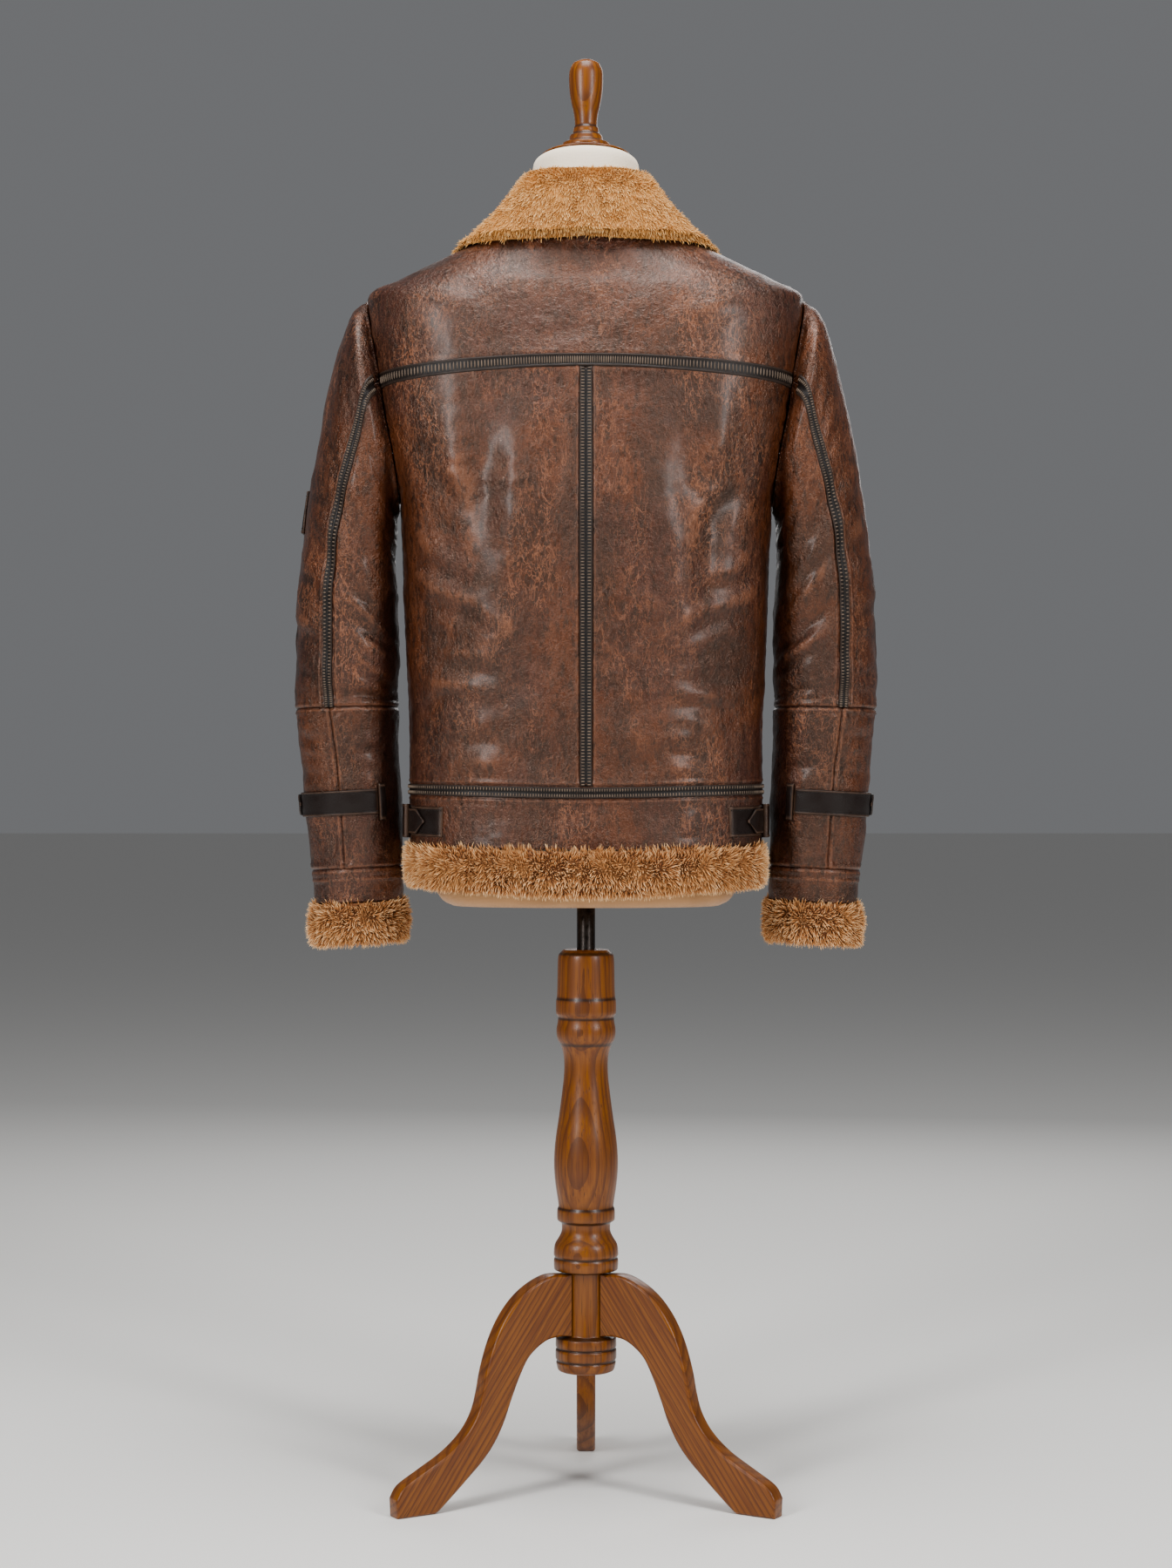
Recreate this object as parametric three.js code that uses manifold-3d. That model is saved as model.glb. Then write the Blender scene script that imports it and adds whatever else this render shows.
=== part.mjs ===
import * as THREE from 'three';
import { mergeVertices } from 'three/addons/utils/BufferGeometryUtils.js';
import Module from 'manifold-3d';

// Shearling coat, filled out on a limbless dress form that stands on a turned oak tripod.
// Millimetres. +Z is up, +Y is the way the coat faces, +X is the wearer's right.
// The column's axis is X = 0, Y = 0 while the pieces are made; the whole is then moved by FRAME_Y
// so that the origin lies on the floor, under the middle of the object's box.

const FRAME_Y = -39;

// Walls and gaps
const BODY_WALL = 6;
const SLEEVE_WALL = 5;
const SEAM_GAP = 0.3;
const ARMHOLE_LIFT = 1.2;
const COLLAR_LIFT = 2.1;
const TRIM_LIFT = 0.5;
const TAPE_WALL = 1.6;
const TAPE_WIDTH = 13;
const STRAP_WALL = 2.4;

// Heights of the coat's seams, at the centre back
const HEM_LEVEL = 662;
const WAIST_LEVEL = 718;
const YOKE_LEVEL = 1145;
const YOKE_DIP = 33;
const NECK_LEVEL = 1300;

// Armhole, as a closed curve around the side of the body
const ARMHOLE_MIDDLE = 1098;
const ARMHOLE_HALF_HEIGHT = 87;
const ARMHOLE_HALF_TURN = 20.5;
// Its upper part leans forward: by how much, and between which levels
const ARMHOLE_LEAN = 6.5;
const LEAN_BOTTOM = 1020;
const LEAN_TOP = 1108;
const ARMHOLE_BOTTOM = ARMHOLE_MIDDLE - ARMHOLE_HALF_HEIGHT;
const ARMHOLE_TOP = ARMHOLE_MIDDLE + ARMHOLE_HALF_HEIGHT;
const ARMHOLE_SEAM_LAP = 5;

// Front closure
const ZIP_HALF_GAP = 3.6;
const ZIP_HALF_STRIP = 3.2;
const SLIDER_LEVEL = 1146;
const PULL_LENGTH = 34;
const PULL_WIDTH = 8;
const PULL_WALL = 1.6;
const PIN_RADIUS = 0.8;
const EYE_RADIUS = 2.2;
const EYE_HOLE_RADIUS = 1.15;
const PIN_STAND_OFF = 2.7;

// Stand
const POLE_RADIUS = 9.4;
const POLE_BORE_RADIUS = 9.7;
const POLE_BOTTOM = 330;
const POLE_TOP = 622;
const BORE_FLOOR = POLE_BOTTOM - SEAM_GAP;
const FORM_BOTTOM = 603;
const FORM_BASE_TOP = 632;
const HUB_RADIUS = 22.4;
const LEG_WALL = 20;
const LEG_TURNS = [0, 120, -120];

// The coat's outside, ring by ring. level is the ring's height at the centre back, side and face
// its heights at the sides and the centre front. half is half its width, back and front its
// depths from the axis, and square is 2 for an ellipse and more for a squarer ring.
const BODY_RINGS = [
  { level: 590, side: 594, face: 592, half: 178, back: 127, front: 141, square: 2.5 },
  { level: 662, side: 666, face: 664, half: 180, back: 127, front: 142, square: 2.5 },
  { level: 718, side: 722, face: 720, half: 180, back: 125, front: 142, square: 2.5 },
  { level: 790, side: 793, face: 791, half: 181, back: 126, front: 146, square: 2.55 },
  { level: 880, side: 882, face: 880, half: 185, back: 131, front: 151, square: 2.6 },
  { level: 960, side: 962, face: 960, half: 188, back: 136, front: 152, square: 2.7 },
  { level: 1010, side: 1014, face: 1010, half: 190, back: 138, front: 150, square: 2.8 },
  { level: 1050, side: 1060, face: 1051, half: 199, back: 137, front: 147, square: 2.95 },
  { level: 1090, side: 1106, face: 1092, half: 208, back: 134, front: 142, square: 3 },
  { level: 1140, side: 1166, face: 1145, half: 216, back: 127, front: 131, square: 3 },
  { level: 1185, side: 1222, face: 1190, half: 222, back: 117, front: 118, square: 2.9 },
  { level: 1215, side: 1241, face: 1212, half: 192, back: 108, front: 103, square: 2.7 },
  { level: 1245, side: 1261, face: 1230, half: 152, back: 97, front: 90, square: 2.5 },
  { level: 1275, side: 1281, face: 1244, half: 113, back: 86, front: 80, square: 2.3 },
  { level: 1300, side: 1303, face: 1256, half: 86, back: 76, front: 72, square: 2.2 },
];

// A sleeve's outside below the armhole, ring by ring, on the wearer's right. step counts the
// rings from the armhole. outX, outZ is the ring's outermost point, inX, inZ its innermost one,
// depth half its depth front to back, ahead how far its middle lies in front of the axis, and
// seam the turn of the back seam from the outermost point towards the back.
const SLEEVE_RINGS = [
  { step: 1, outX: 239, outZ: 1209, inX: 194.5, inZ: 1000, depth: 77, ahead: 0, seam: 82 },
  { step: 2, outX: 253, outZ: 1172, inX: 195.5, inZ: 982, depth: 76, ahead: 0, seam: 83 },
  { step: 3, outX: 265, outZ: 1125, inX: 195.5, inZ: 963, depth: 74, ahead: 1, seam: 80 },
  { step: 4, outX: 276, outZ: 1070, inX: 195, inZ: 940, depth: 71, ahead: 2, seam: 74.5 },
  { step: 5, outX: 287, outZ: 1010, inX: 194, inZ: 911, depth: 68, ahead: 4, seam: 71 },
  { step: 6, outX: 295, outZ: 950, inX: 193, inZ: 881, depth: 65, ahead: 7, seam: 71 },
  { step: 7, outX: 299, outZ: 892, inX: 192.5, inZ: 851, depth: 63, ahead: 10, seam: 72.5 },
  { step: 8, outX: 300, outZ: 840, inX: 194, inZ: 823, depth: 61, ahead: 13, seam: 73.5 },
  { step: 9, outX: 299, outZ: 804, inX: 194.5, inZ: 806, depth: 59, ahead: 15, seam: 75 },
  { step: 10, outX: 296, outZ: 770, inX: 193.5, inZ: 774, depth: 58, ahead: 18, seam: 76.5 },
  { step: 11, outX: 293, outZ: 732, inX: 192, inZ: 737, depth: 56, ahead: 21, seam: 78 },
  { step: 12, outX: 290, outZ: 692, inX: 190.5, inZ: 697, depth: 53, ahead: 24, seam: 79 },
  { step: 13, outX: 284, outZ: 638, inX: 190.5, inZ: 643, depth: 49, ahead: 28, seam: 78 },
  { step: 14, outX: 281.5, outZ: 604, inX: 189.5, inZ: 609, depth: 47, ahead: 30, seam: 78 },
];
const ELBOW_STEP = 9;
const CUFF_STEP = 13;
const MOUTH_STEP = 14;
const ELBOW_GAP = 0.006;
const INNER_SEAM_TURN = 252;
const SLEEVE_SQUARE = 2.2;

// The largest folds of the body. turn and level place the fold's middle, turnReach and
// levelReach are half its spread, lean tilts it, and depth is how far it stands in or out.
const BODY_FOLDS = [
  { turn: -41, level: 1010, turnReach: 7, levelReach: 92, lean: 4, depth: -6 },
  { turn: -29, level: 990, turnReach: 8, levelReach: 80, lean: 3, depth: 4 },
  { turn: 42, level: 1000, turnReach: 7, levelReach: 96, lean: -5, depth: -6.5 },
  { turn: 30, level: 975, turnReach: 8, levelReach: 78, lean: -3, depth: 4 },
  { turn: -56, level: 872, turnReach: 10, levelReach: 24, lean: 0, depth: -4 },
  { turn: 57, level: 846, turnReach: 10, levelReach: 22, lean: 0, depth: -4 },
  { turn: -18, level: 800, turnReach: 16, levelReach: 20, lean: 0, depth: 3 },
  { turn: 20, level: 775, turnReach: 15, levelReach: 18, lean: 0, depth: 3 },
  { turn: 138, level: 980, turnReach: 8, levelReach: 90, lean: 4, depth: -5 },
  { turn: -139, level: 1000, turnReach: 8, levelReach: 84, lean: -4, depth: -5 },
  { turn: 125, level: 860, turnReach: 12, levelReach: 24, lean: 0, depth: -4 },
  { turn: -124, level: 835, turnReach: 12, levelReach: 22, lean: 0, depth: -4 },
];

// The largest folds of the sleeves. side is 1 on the wearer's right and -1 on the left, turn
// and step place the middle, turnReach and stepReach are half the spread.
const SLEEVE_FOLDS = [
  { side: -1, turn: 95, step: 4.4, turnReach: 48, stepReach: 0.4, depth: -4 },
  { side: -1, turn: 60, step: 5.5, turnReach: 55, stepReach: 0.4, depth: -4.5 },
  { side: -1, turn: 105, step: 6.5, turnReach: 45, stepReach: 0.42, depth: -4 },
  { side: -1, turn: 40, step: 7.3, turnReach: 60, stepReach: 0.4, depth: -3.5 },
  { side: -1, turn: 100, step: 8.5, turnReach: 50, stepReach: 0.4, depth: -3 },
  { side: -1, turn: 95, step: 10.5, turnReach: 55, stepReach: 0.42, depth: -3 },
  { side: -1, turn: 280, step: 6, turnReach: 55, stepReach: 0.4, depth: -4 },
  { side: -1, turn: 275, step: 8, turnReach: 50, stepReach: 0.45, depth: -4 },
  { side: 1, turn: 90, step: 4.2, turnReach: 48, stepReach: 0.4, depth: -4 },
  { side: 1, turn: 65, step: 5.3, turnReach: 55, stepReach: 0.4, depth: -4 },
  { side: 1, turn: 110, step: 6.3, turnReach: 45, stepReach: 0.42, depth: -4.5 },
  { side: 1, turn: 45, step: 7.4, turnReach: 58, stepReach: 0.4, depth: -3.5 },
  { side: 1, turn: 95, step: 8.4, turnReach: 50, stepReach: 0.4, depth: -3 },
  { side: 1, turn: 90, step: 10.7, turnReach: 55, stepReach: 0.42, depth: -3 },
  { side: 1, turn: 278, step: 5.8, turnReach: 55, stepReach: 0.4, depth: -4 },
  { side: 1, turn: 272, step: 7.8, turnReach: 50, stepReach: 0.45, depth: -4 },
];

// The collar's size around the neck, for one side. top is the radius and height of the fold's
// inner edge, edge the level on the body where the fall ends, fur the fall's thickness there and
// swell how far the fall rounds out.
const COLLAR_ROWS = [
  { turn: 0, topRadius: 66, topZ: 1349, edge: 1274, fur: 19, swell: 2.5 },
  { turn: 45, topRadius: 64, topZ: 1351, edge: 1267, fur: 17, swell: 1 },
  { turn: 90, topRadius: 58.5, topZ: 1351, edge: 1260, fur: 8, swell: -2 },
  { turn: 135, topRadius: 62, topZ: 1336, edge: 1243, fur: 18, swell: 1.5 },
  { turn: 180, topRadius: 64, topZ: 1308, edge: 1221, fur: 20, swell: 2.5 },
];
const COLLAR_OPEN_TURN = 172;
const COLLAR_FOLD_ROUND = 7;

// Fur rolls: how far they stand outside and inside the leather, and their heights
const HEM_FUR = { out: 14, sideOut: 6, inside: 10, bottom: 614, top: 661.6, sideRise: 9 };
const CUFF_FUR = { out: 6, inside: 11, height: 45, gap: 0.3 };

// The column's turned outline: radius at each height
const COLUMN_PROFILE = [
  { z: 557, r: 23 }, { z: 552, r: 28.2 }, { z: 545, r: 29.1 }, { z: 508, r: 29.6 },
  { z: 505, r: 30.9 }, { z: 491, r: 30.9 }, { z: 488, r: 28.6 },
  { z: 482, r: 29 }, { z: 475, r: 30.6 }, { z: 465, r: 29.8 },
  { z: 459, r: 26 }, { z: 447, r: 22.4 }, { z: 428, r: 22.4 }, { z: 406, r: 25.1 },
  { z: 385, r: 27.8 }, { z: 363, r: 31.4 }, { z: 341, r: 33.2 }, { z: 320, r: 32.3 },
  { z: 293, r: 28 }, { z: 290, r: 29.8 }, { z: 279, r: 29.8 },
  { z: 276, r: 25 }, { z: 267, r: 24.8 }, { z: 260, r: 28.4 }, { z: 254, r: 32.6 },
  { z: 243, r: 33.4 }, { z: 241, r: 31.8 }, { z: 238, r: 33.4 }, { z: 228, r: 32.8 },
  { z: 226, r: HUB_RADIUS }, { z: 161, r: HUB_RADIUS }, { z: 159, r: 31 }, { z: 149, r: 31.4 },
  { z: 148, r: 29.6 }, { z: 146, r: 31.4 }, { z: 137, r: 31.4 }, { z: 135, r: 29.6 },
  { z: 133, r: 31 }, { z: 125, r: 29 }, { z: 123, r: 24 },
];

// The finial's turned outline, above the cap of the neck
const FINIAL_PROFILE = [
  { z: 1381, r: 25 }, { z: 1386, r: 24 }, { z: 1388, r: 17.6 }, { z: 1394, r: 16.4 },
  { z: 1396, r: 13.4 }, { z: 1401, r: 13 }, { z: 1404, r: 11.2 }, { z: 1415, r: 12 },
  { z: 1426, r: 14.8 }, { z: 1437, r: 16.8 }, { z: 1452, r: 17.6 }, { z: 1461, r: 17.2 },
  { z: 1468, r: 13.6 }, { z: 1471.5, r: 7 },
];
const FINIAL_TOP = 1472.5;

// A leg's outline in its own plane: out is the distance from the column's axis.
const LEG_UPPER_EDGE = [
  { out: 45, z: 226 }, { out: 66, z: 218 }, { out: 84, z: 205 }, { out: 99, z: 187 },
  { out: 111, z: 164 }, { out: 120, z: 136 }, { out: 125, z: 112 }, { out: 131, z: 93 },
  { out: 143, z: 75 }, { out: 163, z: 58 }, { out: 190, z: 43 }, { out: 213, z: 30 },
  { out: 221, z: 18 },
];
const LEG_LOWER_EDGE = [
  { out: 173, z: 3 }, { out: 160, z: 14 }, { out: 141, z: 31 }, { out: 124, z: 47 },
  { out: 111, z: 63 }, { out: 100, z: 83 }, { out: 91, z: 106 }, { out: 81, z: 129 },
  { out: 70, z: 147 }, { out: 52, z: 160 }, { out: 36, z: 163 },
];
const LEG_TOE = { out: 220, z: 0 };
const LEG_HEEL = { out: 178, z: 0 };

const RADIANS = Math.PI / 180;
const STEP = 0.01;

const MATERIALS = {
  leather: new THREE.MeshStandardMaterial({ color: 0x5e3a2a, roughness: 0.5, metalness: 0 }),
  darkLeather: new THREE.MeshStandardMaterial({ color: 0x33261f, roughness: 0.45, metalness: 0 }),
  tape: new THREE.MeshStandardMaterial({ color: 0x3a332d, roughness: 0.7, metalness: 0 }),
  fur: new THREE.MeshStandardMaterial({ color: 0xc99158, roughness: 1, metalness: 0 }),
  cover: new THREE.MeshStandardMaterial({ color: 0xece6df, roughness: 0.9, metalness: 0 }),
  base: new THREE.MeshStandardMaterial({ color: 0xb98a5c, roughness: 0.85, metalness: 0 }),
  oak: new THREE.MeshStandardMaterial({ color: 0x96602f, roughness: 0.4, metalness: 0 }),
  pole: new THREE.MeshStandardMaterial({ color: 0x2a2522, roughness: 0.35, metalness: 0.8 }),
  zip: new THREE.MeshStandardMaterial({ color: 0x6f5a35, roughness: 0.35, metalness: 0.9 }),
};

// Tables

function slopeAt(rows, key, column, i) {
  const rise = (j) => (rows[j + 1][column] - rows[j][column]) / (rows[j + 1][key] - rows[j][key]);
  if (i === 0) return rise(0);
  if (i === rows.length - 1) return rise(i - 1);
  const before = rise(i - 1);
  const after = rise(i);
  return before * after <= 0 ? 0 : (2 * before * after) / (before + after);
}

// Reads one column between a table's rows, smoothly and without overshoot.
function read(rows, key, column, at) {
  let i = 0;
  while (i < rows.length - 2 && at > rows[i + 1][key]) i += 1;
  const span = rows[i + 1][key] - rows[i][key];
  const t = (at - rows[i][key]) / span;
  const from = rows[i][column];
  const to = rows[i + 1][column];
  if (t <= 0) return from + slopeAt(rows, key, column, i) * span * t;
  if (t >= 1) return to + slopeAt(rows, key, column, i + 1) * span * (t - 1);
  const leave = slopeAt(rows, key, column, i) * span;
  const arrive = slopeAt(rows, key, column, i + 1) * span;
  const square = t * t;
  const cube = square * t;
  return (2 * cube - 3 * square + 1) * from + (cube - 2 * square + t) * leave
    + (3 * square - 2 * cube) * to + (cube - square) * arrive;
}

const mix = (from, to, t) => from + (to - from) * t;

// Body surface. turn is 0 at the centre back, 90 at the wearer's right and 180 in front.

function bodyPoint(turn, level) {
  const across = Math.sin(turn * RADIANS);
  const ahead = -Math.cos(turn * RADIANS);
  const row = (column) => read(BODY_RINGS, 'level', column, level);
  const depth = ahead < 0 ? row('back') : row('front');
  const square = row('square');
  const reach = ((Math.abs(across) / row('half')) ** square
    + (Math.abs(ahead) / depth) ** square) ** (-1 / square);
  const endZ = ahead < 0 ? level : row('face');
  const z = mix(row('side'), endZ, ahead * ahead);
  return new THREE.Vector3(reach * across, reach * ahead, z);
}

function normalOf(surface, a, b, stepA, stepB) {
  const alongA = surface(a + stepA, b).sub(surface(a - stepA, b));
  const alongB = surface(a, b + stepB).sub(surface(a, b - stepB));
  return alongA.cross(alongB).normalize();
}

const bodyNormal = (turn, level) => normalOf(bodyPoint, turn, level, 1, 2);

function bodyFold(turn, level) {
  let sum = 0;
  for (const fold of BODY_FOLDS) {
    const rise = (level - fold.level) / fold.levelReach;
    const swing = (turn - fold.turn - fold.lean * rise) / fold.turnReach;
    sum += fold.depth * Math.exp(-(rise * rise) - swing * swing);
  }
  return sum;
}

// A point of the coat's body, moved out of its plain surface by its folds and by out.
function coatPoint(turn, level, out) {
  const shift = bodyFold(turn, level) + out;
  return bodyPoint(turn, level).addScaledVector(bodyNormal(turn, level), shift);
}

// Turn of the armhole's middle at a level.
function sideMiddle(level) {
  return 90 + ARMHOLE_LEAN * THREE.MathUtils.smoothstep(level, LEAN_BOTTOM, LEAN_TOP);
}

// How far the armhole's edge lies from its middle, in degrees, at a level.
function armholeTurn(level) {
  const rise = (level - ARMHOLE_MIDDLE) / ARMHOLE_HALF_HEIGHT;
  if (Math.abs(rise) >= 1) return 0;
  return ARMHOLE_HALF_TURN * Math.sqrt(1 - rise * rise);
}

function yokeSeam(turn) {
  const across = Math.sin(turn * RADIANS);
  return YOKE_LEVEL - YOKE_DIP * across * across;
}

// Sleeve surface. turn is 0 at the outside of the arm, 90 at its back, 180 against the body.

function armholePoint(turn, lap, out, side) {
  const size = 1 + lap / ARMHOLE_HALF_HEIGHT;
  const level = ARMHOLE_MIDDLE + ARMHOLE_HALF_HEIGHT * size * Math.cos(turn * RADIANS);
  const offset = ARMHOLE_HALF_TURN * size * Math.sin(turn * RADIANS);
  const bodyTurn = side * (sideMiddle(level) - offset);
  return bodyPoint(bodyTurn, level).addScaledVector(bodyNormal(bodyTurn, level), out);
}

function sleeveRing(index, turn, side) {
  if (index <= 0) return armholePoint(turn, ARMHOLE_SEAM_LAP, ARMHOLE_LIFT, side);
  const ring = SLEEVE_RINGS[Math.min(index, SLEEVE_RINGS.length) - 1];
  const across = Math.cos(turn * RADIANS);
  const behind = Math.sin(turn * RADIANS);
  const fullness = (Math.abs(across) ** SLEEVE_SQUARE + Math.abs(behind) ** SLEEVE_SQUARE)
    ** (-1 / SLEEVE_SQUARE);
  const toOutside = (across * fullness + 1) / 2;
  return new THREE.Vector3(
    side * mix(ring.inX, ring.outX, toOutside),
    ring.ahead - ring.depth * behind * fullness,
    mix(ring.inZ, ring.outZ, toOutside),
  );
}

function sleevePoint(turn, step, side) {
  const from = Math.max(0, Math.min(Math.floor(step), MOUTH_STEP - 1));
  const t = step - from;
  const [a, b, c, d] = [-1, 0, 1, 2].map((k) => sleeveRing(Math.max(0, from + k), turn, side));
  const blend = (axis) => {
    const leave = (c[axis] - a[axis]) / 2;
    const arrive = (d[axis] - b[axis]) / 2;
    const square = t * t;
    const cube = square * t;
    return (2 * cube - 3 * square + 1) * b[axis] + (cube - 2 * square + t) * leave
      + (3 * square - 2 * cube) * c[axis] + (cube - square) * arrive;
  };
  return new THREE.Vector3(blend('x'), blend('y'), blend('z'));
}

function sleeveNormal(turn, step, side) {
  const surface = (a, b) => sleevePoint(a, b, side);
  const middle = Math.min(Math.max(step, 0.25), MOUTH_STEP - STEP);
  return normalOf(surface, turn, middle, 2, 0.1).multiplyScalar(side);
}

function sleeveFold(turn, step, side) {
  let sum = 0;
  for (const fold of SLEEVE_FOLDS) {
    if (fold.side !== side) continue;
    const swing = (turn - fold.turn) / fold.turnReach;
    const along = (step - fold.step) / fold.stepReach;
    sum += fold.depth * Math.exp(-(swing * swing) - along * along);
  }
  return sum;
}

// A point of a sleeve's outside, moved out by its folds and by out. The folds fade at the armhole.
function armPoint(turn, step, side, out) {
  const wrapped = ((turn % 360) + 360) % 360;
  const shift = sleeveFold(wrapped, step, side) + out;
  return sleevePoint(turn, step, side).addScaledVector(sleeveNormal(turn, step, side), shift);
}

// The inside of a sleeve's wall: it starts on the armhole's edge and thins away from there.
function armInside(turn, step, side) {
  const inside = armPoint(turn, step, side, -SLEEVE_WALL);
  if (step >= 1) return inside;
  const edge = armholePoint(turn, 0, ARMHOLE_LIFT, side);
  return edge.lerp(armPoint(turn, 1, side, -SLEEVE_WALL), step);
}

// Closed bodies

function signedVolume(points, faces) {
  let sum = 0;
  for (const [a, b, c] of faces) {
    sum += points[a].dot(new THREE.Vector3().crossVectors(points[b], points[c]));
  }
  return sum / 6;
}

function geometryOf(points, faces) {
  const turned = signedVolume(points, faces) < 0;
  const geometry = new THREE.BufferGeometry();
  const places = points.flatMap((point) => [point.x, point.y, point.z]);
  geometry.setAttribute('position', new THREE.Float32BufferAttribute(places, 3));
  geometry.setIndex(faces.flatMap(([a, b, c]) => (turned ? [a, c, b] : [a, b, c])));
  geometry.computeVertexNormals();
  return geometry;
}

// A wall between two faces, open at its four edges, which are closed from face to face.
function slab(outer, inner, columns, rows) {
  const points = [];
  const faces = [];
  const at = (layer, i, j) => layer * (columns + 1) * (rows + 1) + j * (columns + 1) + i;
  for (const face of [outer, inner]) {
    for (let j = 0; j <= rows; j += 1) {
      for (let i = 0; i <= columns; i += 1) points.push(face(i / columns, j / rows));
    }
  }
  const quad = (a, b, c, d) => faces.push([a, b, c], [a, c, d]);
  for (let j = 0; j < rows; j += 1) {
    for (let i = 0; i < columns; i += 1) {
      quad(at(0, i, j), at(0, i + 1, j), at(0, i + 1, j + 1), at(0, i, j + 1));
      quad(at(1, i, j), at(1, i, j + 1), at(1, i + 1, j + 1), at(1, i + 1, j));
    }
  }
  for (let i = 0; i < columns; i += 1) {
    quad(at(0, i, 0), at(1, i, 0), at(1, i + 1, 0), at(0, i + 1, 0));
    quad(at(0, i, rows), at(0, i + 1, rows), at(1, i + 1, rows), at(1, i, rows));
  }
  for (let j = 0; j < rows; j += 1) {
    quad(at(0, 0, j), at(0, 0, j + 1), at(1, 0, j + 1), at(1, 0, j));
    quad(at(0, columns, j), at(1, columns, j), at(1, columns, j + 1), at(0, columns, j + 1));
  }
  return geometryOf(points, faces);
}

// A closed tube wall: the loft of one ring of section points to the next, joined end to start.
function roll(section, around) {
  const rings = Array.from({ length: around }, (_, i) => section(i / around));
  const size = rings[0].length;
  const faces = [];
  for (let i = 0; i < around; i += 1) {
    const next = (i + 1) % around;
    for (let k = 0; k < size; k += 1) {
      const after = (k + 1) % size;
      const [a, b] = [i * size + k, next * size + k];
      const [c, d] = [next * size + after, i * size + after];
      faces.push([a, b, c], [a, c, d]);
    }
  }
  return geometryOf(rings.flat(), faces);
}

// A body lofted through closed sections, with both its ends closed.
function loft(rings) {
  const size = rings[0].length;
  const points = rings.flat();
  const faces = [];
  for (let i = 0; i + 1 < rings.length; i += 1) {
    for (let k = 0; k < size; k += 1) {
      const after = (k + 1) % size;
      const [a, b] = [i * size + k, (i + 1) * size + k];
      const [c, d] = [(i + 1) * size + after, i * size + after];
      faces.push([a, b, c], [a, c, d]);
    }
  }
  for (const end of [0, rings.length - 1]) {
    const middle = rings[end].reduce((sum, p) => sum.add(p), new THREE.Vector3());
    points.push(middle.divideScalar(size));
    for (let k = 0; k < size; k += 1) {
      const [a, b] = [end * size + k, end * size + ((k + 1) % size)];
      faces.push(end === 0 ? [points.length - 1, a, b] : [points.length - 1, b, a]);
    }
  }
  return geometryOf(points, faces);
}

function lathe(profile, segments) {
  const outline = profile.map(({ r, z }) => new THREE.Vector2(r, z));
  const geometry = new THREE.LatheGeometry(outline, segments).rotateX(90 * RADIANS);
  geometry.deleteAttribute('uv');
  geometry.deleteAttribute('normal');
  const merged = mergeVertices(geometry, 1e-4);
  const places = merged.getAttribute('position');
  const points = [];
  for (let i = 0; i < places.count; i += 1) {
    points.push(new THREE.Vector3().fromBufferAttribute(places, i));
  }
  const faces = [];
  const index = merged.getIndex().array;
  for (let i = 0; i < index.length; i += 3) {
    const [a, b, c] = index.slice(i, i + 3);
    if (a !== b && b !== c && a !== c) faces.push([a, b, c]);
  }
  return geometryOf(points, faces);
}

const model = new THREE.Group();
model.position.y = FRAME_Y;

function add(name, geometry, material, group = model) {
  const mesh = new THREE.Mesh(geometry, MATERIALS[material]);
  mesh.name = name;
  group.add(mesh);
  return mesh;
}

const wasm = await Module();
wasm.setup();

function toManifold(geometry) {
  const bare = geometry.clone();
  bare.deleteAttribute('uv');
  bare.deleteAttribute('normal');
  const merged = mergeVertices(bare, 1e-4);
  const index = merged.getIndex().array;
  return new wasm.Manifold(new wasm.Mesh({
    numProp: 3,
    vertProperties: Float32Array.from(merged.getAttribute('position').array),
    triVerts: Uint32Array.from(index),
  }));
}

function fromManifold(body) {
  const mesh = body.getMesh();
  const geometry = new THREE.BufferGeometry();
  geometry.setAttribute('position', new THREE.Float32BufferAttribute(mesh.vertProperties, 3));
  geometry.setIndex(Array.from(mesh.triVerts));
  geometry.computeVertexNormals();
  return geometry;
}

// Body panels. A panel from the centre to a side has HALF_COLUMNS columns.

const HALF_COLUMNS = 10;
const SLEEVE_ROWS = 17;
const LOWER_ROWS = 8;
const YOKE_EDGE_TURN = Math.acos((yokeSeam(72) - ARMHOLE_MIDDLE) / ARMHOLE_HALF_HEIGHT) / RADIANS;

// Shares of a panel's height beside the armhole, at even turns of the armhole's curve.
function armholeShares(from, to, rows) {
  const start = Math.cos(from * RADIANS);
  const end = Math.cos(to * RADIANS);
  const share = (j) => (Math.cos(mix(from, to, j / rows) * RADIANS) - start) / (end - start);
  return Array.from({ length: rows + 1 }, (_, j) => share(j));
}

const evenShares = (rows) => Array.from({ length: rows + 1 }, (_, j) => j / rows);

// Levels of a panel's rows: each stretch runs between two heights, which may change across it.
function levelsOf(...stretches) {
  const rows = stretches.reduce((sum, { shares }) => sum + shares.length - 1, 0);
  const levelAt = (u, v) => {
    let left = Math.round(v * rows);
    for (const { from, to, shares } of stretches) {
      if (left < shares.length) return mix(from(u), to(u), shares[left]);
      left -= shares.length - 1;
    }
    return NaN;
  };
  return { rows, levelAt };
}

const degreesFor = (length, radius) => (length / radius) / RADIANS;
const SEAM_TURN = degreesFor(SEAM_GAP / 2, 130);

function panel(turnAt, levelAt, columns, rows) {
  const face = (out) => (u, v) => {
    const level = levelAt(u, v);
    return coatPoint(turnAt(u, level), level, out);
  };
  return slab(face(0), face(-BODY_WALL), columns, rows);
}

function sideTurn(level, direction) {
  return sideMiddle(level) - direction * armholeTurn(level);
}

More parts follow.
